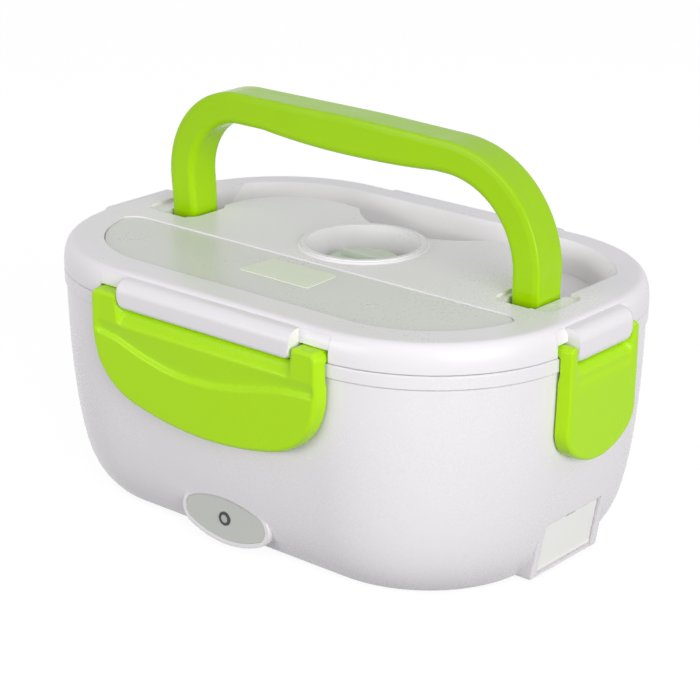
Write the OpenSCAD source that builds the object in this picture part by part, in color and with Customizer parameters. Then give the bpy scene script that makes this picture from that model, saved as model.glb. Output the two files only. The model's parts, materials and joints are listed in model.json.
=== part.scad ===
// Electric lunch box: heated base, removable tray, lift-off lid with four latches.
// Frame: +Z up, +X towards the end with the power inlet, -Y towards the indicator.
// The origin is the middle of the footprint, on the table. Sizes in millimetres.

/* [Footprint] */
// Half of the body's length, on the seam
half_length = 114; // [100:0.5:130]
// Half of the body's width, on the seam
half_width = 78.8; // [70:0.2:90]
// Radius of the four corners in plan
corner_r = 62; // [56:0.5:68]

/* [Base shell] */
// Height of the seam between base and lid
seam_z = 90; // [84:0.5:98]
// Thickness of the base's outer wall
shell_wall = 2.4; // [2:0.1:3]
// Inset of the wall just under the seam band
wall_top_inset = 0.8; // [0.5:0.1:1.2]
// Extra inset that the slow part of the taper gives at the bottom
taper_slow = 8.8; // [6:0.1:10]
// Extra inset that the quick turn at the bottom gives
taper_quick = 6.4; // [4:0.1:8]
// Height of the seam band at the top of the base
band_h = 5.5; // [4:0.1:7]
// Thickness of the base's rim
rim_t = 2.4; // [2:0.1:3]
// Inset of the mouth inside the rim
mouth_inset = 11.4; // [10:0.1:13]
// Wall of the collar that hangs from the mouth
collar_wall = 2; // [1.6:0.1:2.6]
// Depth of the collar below the rim
collar_h = 8; // [7:0.1:9]

/* [Underside] */
// Height of a foot below the bottom cover
foot_h = 1.5; // [1:0.1:2.5]
// Radius of a foot
foot_r = 6; // [5:0.1:8]
// How deep a foot sits in its pocket
foot_sunk = 1.2; // [0.8:0.1:1.4]
// Distance of a foot's middle from the body's end
foot_end = 52; // [48:0.5:60]
// Distance of a foot's middle from the body's side
foot_side = 45.8; // [42:0.1:52]
// Thickness of the bottom cover
cover_t = 2.2; // [1.8:0.1:2.6]
// Distance of a cover screw from the body's end
screw_end = 37; // [36.5:0.1:37.5]
// Distance of a cover screw from the body's side
screw_side = 36.8; // [36.4:0.1:37.2]
// Radius of a screw's shank
screw_r = 1.5; // [1.2:0.05:1.8]
// Radius of a screw's head
screw_head_r = 2.9; // [2.5:0.1:3.3]
// Radius of a screw boss
boss_r = 4.2; // [3.8:0.1:5]
// Length of a cover screw under its head
screw_l = 12; // [9:0.5:16]

/* [Well and heater] */
// Top of the well's floor
well_floor_z = 29; // [27:0.1:31]
// Thickness of the well's floor and wall
well_wall = 1.8; // [1.4:0.1:2.2]
// Inset of the well's outer face at its top
well_top_inset = 14; // [13.6:0.1:15]
// Inset of the well's outer face at its floor
well_low_inset = 17; // [15:0.1:18]
// Radius of the heating plate
plate_r = 44; // [38:0.5:48]
// Thickness of the heating plate
plate_t = 2; // [1.5:0.1:2.4]
// Side of the square heating element
heater_side = 46; // [36:0.5:52]
// Thickness of the heating element
heater_t = 4; // [3:0.1:5]
// Radius of the thermal cut-out
cutout_r = 7.5; // [6:0.1:8.5]
// Height of the thermal cut-out
cutout_h = 7; // [5:0.1:8]

/* [Tray and side dish] */
// Sheet thickness of the steel tray
tray_wall = 1; // [0.8:0.05:1.4]
// Inset of the tray's flange
tray_flange_inset = 12.2; // [11.9:0.1:12.6]
// Inset of the tray's outer face under the flange
tray_top_inset = 17.2; // [16.8:0.1:18]
// Inset of the tray's outer face at its floor
tray_low_inset = 20.5; // [19.5:0.1:24]
// Distance of the wall between the compartments from the body's end
divider_end = 88; // [84:0.5:96]
// Height of that wall above the tray's floor
divider_h = 40; // [30:0.5:44]
// Room between the side dish and the tray's end wall
dish_room = 9.3; // [9:0.1:16]
// Room between the side dish and the divider
dish_gap = 1.2; // [0.8:0.1:2]
// Width of the side dish
dish_w = 84; // [70:0.5:88]
// Height of the side dish
dish_h = 34; // [26:0.5:38]
// Wall of the side dish
dish_wall = 1.6; // [1.2:0.1:2.2]
// Corner radius of the side dish
dish_corner_r = 14; // [10:0.5:18]
// Thickness of the side dish's lid
dish_lid_t = 2.4; // [2:0.1:3]

/* [Lid] */
// Height of the lid above the seam
lid_h = 11; // [9.5:0.1:13]
// Gap between the lid's edge and the base's rim
seam_gap = 0.4; // [0.3:0.05:0.8]
// Thickness of the lid's top
lid_top_t = 2.4; // [2:0.1:3]
// Thickness of the lid's outer wall
lid_wall = 2.2; // [1.8:0.1:3]
// Inset of the lid's top edge after its rounding
lid_round_inset = 5.2; // [4:0.1:6]
// Height of the vent's lip above the lid's top
vent_lip_h = 1.4; // [1:0.1:2]
// Thickness of the liner
liner_t = 2; // [1.6:0.1:2.4]
// Thickness of the liner's upright wall
liner_wall = 1.2; // [1:0.1:1.3]
// Inset of the liner's flange
liner_flange_inset = 4.8; // [4.6:0.1:5.4]
// Inset of the liner's outer face
liner_inset = 14.2; // [14:0.1:15]
// Height of the liner's lowest face
liner_z = 84.4; // [84.2:0.1:84.8]
// Height of the seal ring
seal_h = 4; // [3:0.1:5]

/* [Handle] */
// Clearance between a pivot lug and the liner's wall
lug_clear = 0.8; // [0.5:0.1:1.6]
// Thickness of a handle leg, seen from the front
leg_t = 12.7; // [11:0.1:14]
// Depth of the handle from front to back
handle_d = 14.9; // [13:0.1:16]
// Outer corner radius of the handle
handle_corner_r = 44.2; // [38:0.2:48]
// Clearance between the channel's wall and the liner's wall
channel_clear = 0.3; // [0.3:0.1:2]
// How far the grip swells downwards in its middle
grip_swell = 2.6; // [1:0.1:4]
// Half of the swelling's length
grip_swell_half = 42; // [34:0.5:46]
// Place of the pivot along Y
pivot_y = 3.1; // [0:0.1:6]
// Height of the pivot
pivot_z = 97; // [96.6:0.1:97.4]
// Radius of a handle pin
pin_r = 2; // [1.6:0.05:2.2]
// Running clearance round every pin
pin_fit = 0.05; // [0.03:0.01:0.09]
// How far a handle pin reaches into each lug
pin_reach = 4; // [3:0.1:5]
// Thickness of a pivot lug
lug_t = 5; // [4.6:0.1:5.4]
// Clearance between the handle and its channel
channel_gap = 1.2; // [0.8:0.1:1.8]
// Length of the channel in front of the pivot
channel_front = 13; // [12:0.1:15]
// Wall and floor of the channel
channel_wall = 1.6; // [1.4:0.1:1.8]

// How far the hand recess widens beyond the channel at its back
recess_wide = 4.9; // [3:0.1:6]
// Upright part of the recess's wall, above the channel's floor
recess_low = 3.4; // [3.2:0.1:6]
// Inset of the recess's two end walls
recess_end_inset = 19.5; // [19:0.1:21]
// Start of the recess behind the pivot
recess_front = 9; // [8:0.1:12]
// Radius of the finger notch behind the vent
notch_r = 42; // [36:0.5:50]
// Place of the notch's middle, behind the pivot
notch_y = 67.9; // [66:0.1:72]
// Depth of the dished shelf round the foot of each leg
shelf_h = 1.2; // [0.8:0.1:1.2]
// Reach of the shelf beyond the handle
shelf_out = 9.6; // [6:0.1:10]
// Reach of the shelf inside a leg
shelf_in = 4; // [3:0.1:6]
// Radius of the shelf's corners
shelf_r = 5; // [3:0.1:7]

/* [Spoon compartment] */
// Distance of the compartment's straight edge in front of the middle
spoon_edge = 21; // [20:0.1:22]
// Inset of the compartment's curved edge
spoon_inset = 16; // [15.9:0.1:18]
// Radius of the compartment's two back corners
spoon_corner_r = 8; // [6:0.1:10]
// How deep the cover's top lies under the lid's top
spoon_cover_sunk = 0.6; // [0.4:0.1:1]
// Thickness of the cover
spoon_cover_t = 1.8; // [1.4:0.1:2.2]
// Gap round the cover
spoon_cover_gap = 0.4; // [0.3:0.05:0.6]
// Width of the ledge under the cover's edge
spoon_ledge = 2.4; // [2:0.1:3]
// Top of the compartment's floor
spoon_floor_z = 89.4; // [89:0.1:90]
// Length of the spoon
spoon_l = 134; // [120:1:140]
// Width of the spoon's bowl
spoon_bowl_w = 26; // [22:0.5:28]
// Thickness of the spoon
spoon_t = 1.6; // [1.2:0.1:2]

/* [Vent] */
// Place of the vent's middle along Y
vent_y = 8.2; // [6:0.1:9]
// Radius of the vent's raised lip
vent_lip_r = 25.6; // [23:0.1:26]
// Radius of the vent's well
vent_well_r = 22.6; // [20:0.1:23.4]
// Top of the well's floor
vent_floor_z = 89; // [88.6:0.1:90]
// Radius of the vent plug's cap
plug_r = 15; // [12:0.1:17]
// Height of the vent plug's cap
plug_h = 5; // [4:0.1:7]
// Radius of the vent plug's stem
stem_r = 4; // [3:0.05:5]

/* [Latches] */
// How far a latch stands proud of the seam
latch_proud = 5; // [4.6:0.1:5.6]
// Thickness of a latch's face
latch_t = 2.2; // [1.8:0.1:2.6]
// Height of a latch's hinge
hinge_z = 95.2; // [95:0.1:96]
// Radius of the hinge barrel on the lid, and of the latch's ears
barrel_r = 4.6; // [4.2:0.1:4.8]
// Radius of a latch's pin
latch_pin_r = 1.5; // [1.2:0.05:1.8]
// Length of a latch's pin
latch_pin_l = 4; // [3:0.1:5]
// Gap between a latch and the pieces that it moves past
latch_gap = 0.5; // [0.35:0.05:0.7]
// Half-length of the barrel of a long-side latch
side_bar_half = 42.3; // [38:0.1:46]
// Half-width of a long-side latch
side_latch_half = 56; // [50:0.1:58]
// Lowest point of a long-side latch
side_latch_low = 47.4; // [46:0.1:56]
// Radius of the bottom curve of a long-side latch
side_latch_r = 137; // [110:1:160]
// Radius of the corners of a long-side latch
side_latch_corner = 28; // [24:0.5:30]
// Half-length of the barrel of an end latch
end_bar_half = 16.4; // [14:0.1:18]
// Half-width of an end latch
end_latch_half = 22; // [20:0.1:24]
// Lowest point of an end latch
end_latch_low = 47; // [46:0.5:56]
// Radius of the bottom curve of an end latch
end_latch_r = 28; // [26:0.5:36]
// Radius of the corners of an end latch
end_latch_corner = 13; // [8:0.5:14]
// Height of a latch's catch
catch_h = 1.8; // [1.4:0.1:2.4]
// How far a latch's face leans in towards its lower edge
latch_lean = 0.8; // [0.4:0.1:1.2]
// Height of the scooped strip under the barrel
latch_scoop_h = 6.6; // [5:0.1:7]
// How far that strip goes in
latch_scoop_in = 2.4; // [1.6:0.1:2.6]
// Step of the lower lip of a long-side latch
latch_step = 0.9; // [0.5:0.1:1]
// Height of the lip's edge in the latch's middle
lip_mid_z = 69.6; // [66:0.1:72]
// Height of the lip's edge at the ears
lip_end_z = 77.6; // [74:0.1:80]

/* [Indicator] */
// Half-width of the indicator panel
panel_a = 20.2; // [18:0.1:22]
// Half-height of the indicator panel
panel_b = 8.6; // [7:0.1:9.4]
// Radius of the panel's two ends
panel_end_r = 5.2; // [4.6:0.1:6]
// Height of the panel's middle
panel_z = 12.4; // [12:0.1:13]
// Inset of the panel's face
panel_inset = 6.8; // [6:0.1:8]
// Thickness of the panel
panel_t = 1.4; // [1:0.1:2]
// Width of the rim round the panel
panel_rim = 1.8; // [1.4:0.1:2.2]
// Radius of the indicator lens
lens_r = 2.2; // [1.6:0.05:3]

/* [Inlet] */
// Half-width of the inlet's housing
inlet_half = 21; // [20:0.1:23]
// Height of the housing's top
inlet_top_z = 24.6; // [24:0.1:25.4]
// Inset of the housing's face at its foot
inlet_low_inset = 9.6; // [8:0.1:11]
// Inset of the housing's face at its top
inlet_top_inset = 5.7; // [4.6:0.1:7]
// Half-width of the flap
flap_half = 17; // [15:0.1:18]
// Height of the flap
flap_h = 19.6; // [18:0.1:20.2]
// Thickness of the flap
flap_t = 2.2; // [1.8:0.1:2.6]
// Gap round the flap
flap_gap = 0.5; // [0.35:0.05:0.8]
// Radius of the flap's hinge
flap_hinge_r = 1.3; // [1.1:0.05:1.5]
// Radius of the flap's hinge pins
flap_pin_r = 0.7; // [0.5:0.05:0.8]
// Width of the inlet's cavity
cavity_w = 17; // [15:0.1:19]
// Height of the inlet's cavity
cavity_h = 9; // [7.5:0.1:10]
// Depth of the inlet's cavity
cavity_d = 14; // [11:0.1:16]
// Distance between the two contacts
contact_pitch = 8.6; // [8:0.1:9]
// Radius of a contact
contact_r = 1.2; // [1:0.05:1.4]

/* [Hidden] */
$fn = 72;
tiny = 0.01;
corner_x = half_length - corner_r;
corner_y = half_width - corner_r;
foot_x = half_length - foot_end;
foot_y = half_width - foot_side;
screw_x = half_length - screw_end;
screw_y = half_width - screw_side;
divider_x = half_length - divider_end;
divider_t = 2;
dish_l = divider_end - divider_t - dish_gap - tray_low_inset - dish_room;
panel_y = half_width - panel_inset;
inlet_low_x = half_length - inlet_low_inset;
inlet_top_x = half_length - inlet_top_inset;
housing_x = half_length - 18;
handle_half = half_length - liner_inset - liner_wall - lug_clear - lug_t - channel_gap;
handle_rise = half_width - liner_inset - liner_wall - channel_clear - channel_wall
    - channel_gap - pivot_y;
channel_z = pivot_z - handle_d / 2 - 0.5;
recess_inset = liner_inset + liner_wall + channel_clear + channel_wall;
spoon_edge_y = -spoon_edge;

base_z = foot_h;
band_z = seam_z - band_h;
lid_z = seam_z + seam_gap;
lid_top = seam_z + lid_h;
plate_z = lid_top - lid_top_t;
collar_z = seam_z - collar_h;
tray_flange_z = collar_z + 0.3;
tray_floor_z = well_floor_z + plate_t + 0.4;
barrel_out = half_width + latch_proud - barrel_r;
end_barrel_out = half_length + latch_proud - barrel_r;
handle_corner_x = handle_half - handle_corner_r;
handle_corner_h = handle_rise - handle_corner_r;
inner_corner_r = handle_corner_r - leg_t;
swell_r = (pow(grip_swell_half, 2) + pow(grip_swell, 2)) / (2 * grip_swell);
flap_tilt = atan2(inlet_top_x - inlet_low_x, inlet_top_z - base_z);
flap_pivot_z = base_z + 2.2;
flap_pivot_x = inlet_low_x - 1.6;
inlet_z = flap_pivot_z + flap_h / 2 + 0.4;
inlet_back_x = flap_pivot_x - cavity_d - 5;
floor_top_z = base_z + cover_t + 0.2;

function wall_inset(z) = let (t = (z - base_z) / (seam_z - base_z))
    wall_top_inset + taper_slow * pow(1 - t, 2.4) + taper_quick * pow(1 - t, 12);

// ---- Shapes that follow the footprint ----

// Sweeps an [inset, height] profile round the footprint's sides and corners
module sweep(profile) {
    for (s = [0, 180]) rotate([0, 0, s]) {
        rotate([90, 0, 90]) translate([0, 0, -corner_x]) linear_extrude(2 * corner_x)
            polygon([for (p = profile) [half_width - p[0], p[1]]]);
        rotate([90, 0, 0]) translate([0, 0, -corner_y]) linear_extrude(2 * corner_y)
            polygon([for (p = profile) [half_length - p[0], p[1]]]);
        translate([corner_x, corner_y, 0]) rotate_extrude(angle = 90)
            polygon([for (p = profile) [corner_r - p[0], p[1]]]);
        translate([-corner_x, corner_y, 0]) rotate([0, 0, 90]) rotate_extrude(angle = 90)
            polygon([for (p = profile) [corner_r - p[0], p[1]]]);
    }
}

// The footprint, moved inwards by inset
module outline(inset) {
    square([2 * corner_x, 2 * (half_width - inset)], center = true);
    square([2 * (half_length - inset), 2 * corner_y], center = true);
    for (sx = [-1, 1]) for (sy = [-1, 1])
        translate([sx * corner_x, sy * corner_y]) circle(r = corner_r - inset);
}

module slab(inset, z0, z1) {
    translate([0, 0, z0]) linear_extrude(z1 - z0) outline(inset);
}

// A plain upright ring between two insets
module ring(outer, inner, z0, z1) {
    sweep([[outer, z0], [outer, z1], [inner, z1], [inner, z0]]);
}

// ---- Base ----

wall_steps = 14;
function wall_level(i) = base_z + (band_z - base_z) * pow(i / wall_steps, 1.5);

module shell_wall_profile() {
    outer = [for (i = [0 : wall_steps]) [wall_inset(wall_level(i)), wall_level(i)]];
    inner = [for (i = [wall_steps : -1 : 2])
        [wall_inset(wall_level(i)) + shell_wall, wall_level(i)]];
    low = wall_inset(base_z) + shell_wall;
    floor_z = base_z + cover_t + 0.2;
    sweep(concat(outer,
        [[0, band_z + 0.6], [0, seam_z - 0.5], [0.5, seam_z], [mouth_inset, seam_z],
         [mouth_inset, collar_z], [mouth_inset + collar_wall - 4, collar_z],
         [mouth_inset - collar_wall, seam_z - rim_t], [shell_wall, seam_z - rim_t]],
        inner,
        [[low + 5, floor_z + 2], [low + 5, floor_z], [low, floor_z], [low, base_z]]));
}

// A four-arc oval: two small ends joined by two long arcs that run into them
module panel_oval(grow) {
    c = panel_a - panel_end_r;
    big = (c * c + panel_b * panel_b - panel_end_r * panel_end_r) / (2 * (panel_b - panel_end_r));
    join_x = c * (big + grow) / (big - panel_end_r);
    intersection() {
        translate([0, panel_b - big]) circle(r = big + grow, $fn = 180);
        translate([0, big - panel_b]) circle(r = big + grow, $fn = 180);
        square([2 * join_x, 4 * panel_b], center = true);
    }
    for (s = [-1, 1]) translate([s * c, 0]) circle(r = panel_end_r + grow);
}

// Stands an outline drawn in X and Z up at depth y, growing towards the back
module upright(y, depth) {
    translate([0, y + depth, 0]) rotate([90, 0, 0]) linear_extrude(depth) children();
}

module outer_shell() {
    color([0.93, 0.93, 0.92]) difference() {
        union() {
            shell_wall_profile();
            difference() {
                translate([0, 0, panel_z]) upright(-panel_y, 20) panel_oval(panel_rim);
                translate([-30, -half_width + wall_inset(base_z) + shell_wall, 0])
                    cube([60, 30, floor_top_z]);
            }
            translate([0, inlet_half, 0]) rotate([90, 0, 0]) linear_extrude(2 * inlet_half)
                polygon([[housing_x - 8, floor_top_z], [housing_x, floor_top_z],
                         [housing_x, base_z], [inlet_low_x, base_z],
                         [inlet_top_x, inlet_top_z], [housing_x - 8, inlet_top_z]]);
            for (sx = [-1, 1]) for (sy = [-1, 1])
                translate([sx * screw_x, sy * screw_y, base_z + cover_t + 0.2])
                    cylinder(r = boss_r, h = screw_l + 1);
        }
        // Seat of the indicator and the way through for its lens
        translate([0, 0, panel_z]) upright(-panel_y - 1, 1 + panel_t) panel_oval(0.1);
        translate([0, 0, panel_z]) upright(-panel_y, 8) circle(r = lens_r + 0.1);
        translate([0, 0, panel_z]) upright(-panel_y + 4, 30) panel_oval(-2);
        // Recess for the flap, the cavity behind it and the space inside
        flap_space();
        translate([flap_pivot_x - 20, -cavity_w / 2 - 1.6, inlet_z - cavity_h / 2 - 1.6])
            cube([30, cavity_w + 3.2, cavity_h + 3.2]);
        translate([housing_x - 10, -inlet_half + 2, floor_top_z + 1.8])
            cube([10, 2 * inlet_half - 4, inlet_top_z - floor_top_z - 3.8]);
        for (s = [-1, 1]) translate([flap_pivot_x, s * flap_half, flap_pivot_z])
            rotate([90, 0, 0]) cylinder(r = flap_pin_r + pin_fit, h = 5, center = true);
        for (sx = [-1, 1]) for (sy = [-1, 1])
            translate([sx * screw_x, sy * screw_y, base_z])
                cylinder(r = screw_r + 0.05, h = screw_l + 1);
    }
}

module flap_space() {
    g = flap_gap;
    translate([flap_pivot_x, 0, flap_pivot_z]) rotate([0, flap_tilt, 0])
        translate([-flap_t / 2 - g, -flap_half - g, -flap_hinge_r - g])
            cube([20, 2 * (flap_half + g), flap_h + flap_hinge_r + 2 * g]);
    translate([flap_pivot_x, 0, flap_pivot_z]) rotate([90, 0, 0])
        cylinder(r = flap_hinge_r + g, h = 2 * (flap_half + g), center = true);
}

module bottom_cover() {
    inset = wall_inset(base_z) + shell_wall + 0.2;
    color([0.88, 0.88, 0.87]) difference() {
        slab(inset, base_z, base_z + cover_t);
        for (sx = [-1, 1]) for (sy = [-1, 1]) {
            translate([sx * foot_x, sy * foot_y, base_z - 1])
                cylinder(r = foot_r + 0.1, h = 1 + foot_sunk);
            translate([sx * screw_x, sy * screw_y, base_z - 1])
                cylinder(r = screw_r + 0.2, h = 6);
            translate([sx * screw_x, sy * screw_y, base_z - 1])
                cylinder(r = screw_head_r + 0.2, h = 1 + 1.2);
        }
        for (i = [-3 : 3]) translate([i * 9 - 1.2, -11, base_z - 1])
            cube([2.4, 22, 6]);
        translate([housing_x - 0.3, -inlet_half - 0.3, base_z - 1])
            cube([30, 2 * inlet_half + 0.6, 6]);
    }
}

module feet() {
    color([0.35, 0.36, 0.35])
        for (sx = [-1, 1]) for (sy = [-1, 1])
            translate([sx * foot_x, sy * foot_y, 0]) {
                cylinder(r1 = foot_r - 0.6, r2 = foot_r, h = 0.6);
                translate([0, 0, 0.6]) cylinder(r = foot_r, h = foot_h + foot_sunk - 0.6);
            }
}

module cover_screws() {
    color([0.7, 0.71, 0.72])
        for (sx = [-1, 1]) for (sy = [-1, 1])
            translate([sx * screw_x, sy * screw_y, base_z + 0.1]) difference() {
                union() {
                    cylinder(r = screw_head_r, h = 1.1);
                    cylinder(r = screw_r, h = screw_l);
                }
                for (q = [0, 90]) rotate([0, 0, q])
                    cube([3.4, 0.8, 1.4], center = true);
            }
}

module inner_well() {
    top = collar_z;
    t = well_wall;
    floor_low = well_floor_z - t;
    color([0.9, 0.9, 0.89]) difference() {
        union() {
            sweep([[mouth_inset - collar_wall, top], [well_top_inset + t, top],
                   [well_low_inset + t, well_floor_z - tiny], [well_low_inset + t + 8, well_floor_z],
                   [well_low_inset + t + 8, floor_low], [well_low_inset, floor_low],
                   [well_top_inset, top - 2], [mouth_inset - collar_wall, top - 2]]);
            slab(well_low_inset + t + 6, floor_low, well_floor_z);
        }
        translate([0, 0, floor_low - 1]) cylinder(r = plate_r - 3, h = 6);
        translate([0, 0, well_floor_z - 0.8]) cylinder(r = plate_r + 0.1, h = 6);
    }
}

module heating_plate() {
    color([0.72, 0.73, 0.74]) union() {
        translate([0, 0, well_floor_z - 0.8]) cylinder(r = plate_r, h = plate_t + 0.8);
        translate([0, 0, well_floor_z - well_wall - 2]) cylinder(r = plate_r - 3.2, h = 3.2);
    }
}

module heater() {
    z = well_floor_z - well_wall - 2 - heater_t;
    color([0.55, 0.42, 0.2]) translate([0, 0, z + heater_t / 2])
        cube([heater_side, heater_side, heater_t], center = true);
}

module thermal_cutout() {
    z = well_floor_z - well_wall - 2 - cutout_h;
    color([0.25, 0.25, 0.27]) translate([heater_side / 2 + cutout_r + 1.5, 0, z]) {
        cylinder(r = cutout_r, h = cutout_h);
        for (s = [-1, 1]) translate([-1, s * (cutout_r + 1) - 1.5, 1]) cube([2, 3, 1]);
        for (s = [-1, 1]) translate([-1, min(0, s * (cutout_r + 1)), 1])
            cube([2, cutout_r + 1, 1]);
    }
}

// A wire of straight runs through the given points, round at its bends
module wire(points, r) {
    for (i = [0 : len(points) - 2]) {
        d = points[i + 1] - points[i];
        l = norm(d);
        translate(points[i])
            rotate([0, acos(d[2] / l), atan2(d[1], d[0])]) cylinder(r = r, h = l, $fn = 24);
    }
    for (i = [1 : len(points) - 2]) translate(points[i]) sphere(r = 1.25 * r, $fn = 24);
}

module wires() {
    zh = well_floor_z - well_wall - 2 - heater_t / 2;
    x_in = inlet_back_x;
    ch = heater_side / 2;
    yw = heater_side / 2 - 9;
    color([0.8, 0.25, 0.2]) for (s = [-1, 1])
        wire([[x_in, s * contact_pitch / 2, inlet_z], [x_in - 14, s * contact_pitch / 2, inlet_z],
              [x_in - 24, s * yw, inlet_z], [ch + cutout_r, s * yw, zh], [ch, s * yw, zh]], 1);
    color([0.85, 0.85, 0.8])
        wire([[4, 6.8 - panel_y, panel_z], [4.2, 10 - panel_y, panel_z - 0.3],
              [10, 20 - panel_y, panel_z - 1],
              [ch - 5, -ch - 10, panel_z - 2], [ch - 5, -ch - 10, zh], [ch - 5, -ch, zh]], 0.8);
}

module inlet_socket() {
    x0 = flap_pivot_x - cavity_d - 3;
    back = 2.4;
    t = 1.4;
    color([0.12, 0.12, 0.13]) difference() {
        translate([x0 - 0.5, -cavity_w / 2 - t, inlet_z - cavity_h / 2 - t])
            cube([cavity_d + back, cavity_w + 2 * t, cavity_h + 2 * t]);
        translate([x0 + back - 0.5, 0, inlet_z]) rotate([90, 0, 90])
            linear_extrude(cavity_d + 5) {
                square([cavity_w - cavity_h, cavity_h], center = true);
                for (s = [-1, 1]) translate([s * (cavity_w - cavity_h) / 2, 0])
                    circle(r = cavity_h / 2);
            }
        for (s = [-1, 1]) translate([x0 - 5, s * contact_pitch / 2, inlet_z])
            rotate([0, 90, 0]) cylinder(r = contact_r, h = 12);
    }
}

module inlet_pins() {
    x0 = flap_pivot_x - cavity_d - 5;
    color([0.82, 0.8, 0.7])
        for (s = [-1, 1]) translate([x0, s * contact_pitch / 2, inlet_z])
            rotate([0, 90, 0]) {
                cylinder(r = contact_r, h = cavity_d + 1);
                translate([0, 0, cavity_d + 1])
                    cylinder(r1 = contact_r, r2 = contact_r - 0.5, h = 0.8);
            }
}

module inlet_flap() {
    color([0.93, 0.92, 0.86]) union() {
        translate([flap_pivot_x, 0, flap_pivot_z]) rotate([90, 0, 0])
            cylinder(r = flap_hinge_r, h = 2 * flap_half, center = true);
        translate([flap_pivot_x, 0, flap_pivot_z]) rotate([90, 0, 0])
            cylinder(r = flap_pin_r, h = 2 * flap_half + 4, center = true);
        translate([flap_pivot_x, 0, flap_pivot_z]) rotate([0, flap_tilt, 0])
            translate([-flap_t / 2, 0, 0]) rotate([90, 0, 90]) linear_extrude(flap_t)
                difference() {
                    translate([-flap_half, 0]) square([2 * flap_half, flap_h]);
                    translate([0, flap_h]) square([6, 3], center = true);
                }
    }
}

module lamp_panel() {
    color([0.6, 0.68, 0.62]) difference() {
        translate([0, 0, panel_z]) upright(-panel_y + 0.1, panel_t - 0.1) panel_oval(0);
        translate([0, 0, panel_z]) upright(-panel_y - 1, 8) circle(r = lens_r + 0.05);
    }
}

module lamp_lens() {
    color([0.85, 0.87, 0.85]) translate([0, 0, panel_z]) {
        upright(-panel_y - 0.3, 5.3) circle(r = lens_r);
    }
}

module lamp_board() {
    color([0.15, 0.4, 0.2]) translate([-9, 5.2 - panel_y, panel_z - 5]) cube([18, 1.6, 10]);
}

// ---- Tray and side dish ----

module food_tray() {
    t = tray_wall;
    z = tray_flange_z;
    f = tray_floor_z;
    color([0.78, 0.79, 0.8]) union() {
        sweep([[tray_flange_inset, z], [tray_flange_inset, z + t],
               [tray_top_inset + t, z + t], [tray_low_inset + t, f + 5], [tray_low_inset + t + 4, f + t],
               [tray_low_inset + 12, f + t], [tray_low_inset + 12, f], [tray_low_inset + 4, f],
               [tray_low_inset, f + 5], [tray_top_inset, z]]);
        slab(tray_low_inset + 10, f, f + t);
        intersection() {
            translate([divider_x, -half_width, f]) cube([divider_t, 2 * half_width, divider_h]);
            slab(tray_low_inset + 3, f, f + divider_h);
        }
        intersection() {
            translate([divider_x, -half_width, f + 6])
                cube([divider_t, 2 * half_width, divider_h - 6]);
            slab(tray_low_inset + 0.6, f + 6, f + divider_h);
        }
    }
}

module rounded(l, w, r) {
    square([l - 2 * r, w], center = true);
    square([l, w - 2 * r], center = true);
    for (sx = [-1, 1]) for (sy = [-1, 1])
        translate([sx * (l / 2 - r), sy * (w / 2 - r)]) circle(r = r);
}

dish_x = divider_x + divider_t + dish_gap + dish_l / 2;
dish_z = tray_floor_z + tray_wall + 0.4;

module side_dish() {
    color([0.9, 0.93, 0.85, 0.8]) translate([dish_x, 0, dish_z]) difference() {
        union() {
            linear_extrude(dish_h) rounded(dish_l - 4, dish_w - 4, dish_corner_r - 2);
            translate([0, 0, dish_h - 2]) linear_extrude(2) rounded(dish_l, dish_w, dish_corner_r);
        }
        translate([0, 0, dish_wall]) linear_extrude(dish_h)
            rounded(dish_l - 4 - 2 * dish_wall, dish_w - 4 - 2 * dish_wall,
                    dish_corner_r - 2 - dish_wall);
    }
}

module dish_lid() {
    color([0.66, 0.83, 0.25]) translate([dish_x, 0, dish_z + dish_h]) difference() {
        union() {
            linear_extrude(dish_lid_t) rounded(dish_l, dish_w, dish_corner_r);
            translate([0, 0, -3]) linear_extrude(3 + tiny)
                rounded(dish_l - 4.4 - 2 * dish_wall, dish_w - 4.4 - 2 * dish_wall,
                        dish_corner_r - 2.2 - dish_wall);
        }
        translate([0, 0, -4]) linear_extrude(5)
            rounded(dish_l - 8 - 2 * dish_wall, dish_w - 8 - 2 * dish_wall,
                    dish_corner_r - 4 - dish_wall);
    }
}

// ---- Lid ----

lid_steps = 12;
spoon_cover_z = lid_top - spoon_cover_sunk - spoon_cover_t;

// One point of the lid's rounded edge: inset and height
function lid_edge(i) = let (a = 90 * i / lid_steps)
    [lid_round_inset * (1 - pow(cos(a), 0.75)), lid_z + (lid_top - lid_z) * pow(sin(a), 0.75)];

// The handle's front view: X across, Y is the height above the pivot
module handle_outer(grow) {
    w = handle_half + grow;
    low = -channel_front - grow;
    intersection() {
        union() {
            translate([-w, low]) square([2 * w, handle_corner_h - low]);
            for (s = [-1, 1]) translate([s * handle_corner_x, handle_corner_h])
                circle(r = handle_corner_r + grow);
            translate([-handle_corner_x, low])
                square([2 * handle_corner_x, handle_rise + grow - low]);
        }
        translate([-w - 1, low]) square([2 * w + 2, 3 * handle_rise]);
    }
}

module handle_inner(grow) {
    w = handle_half - leg_t - grow;
    r = inner_corner_r - grow;
    low = -channel_front - grow - 1;
    difference() {
        union() {
            translate([-w, low]) square([2 * w, handle_corner_h - low]);
            for (s = [-1, 1]) translate([s * handle_corner_x, handle_corner_h])
                circle(r = r);
            translate([-handle_corner_x, low])
                square([2 * handle_corner_x, handle_corner_h + r - low]);
        }
        translate([0, handle_corner_h + inner_corner_r - grip_swell + swell_r])
            circle(r = swell_r + grow, $fn = 720);
    }
}

module channel_plan(grow) {
    translate([0, pivot_y]) difference() {
        handle_outer(channel_gap + grow);
        handle_inner(channel_gap + grow);
    }
}

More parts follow.
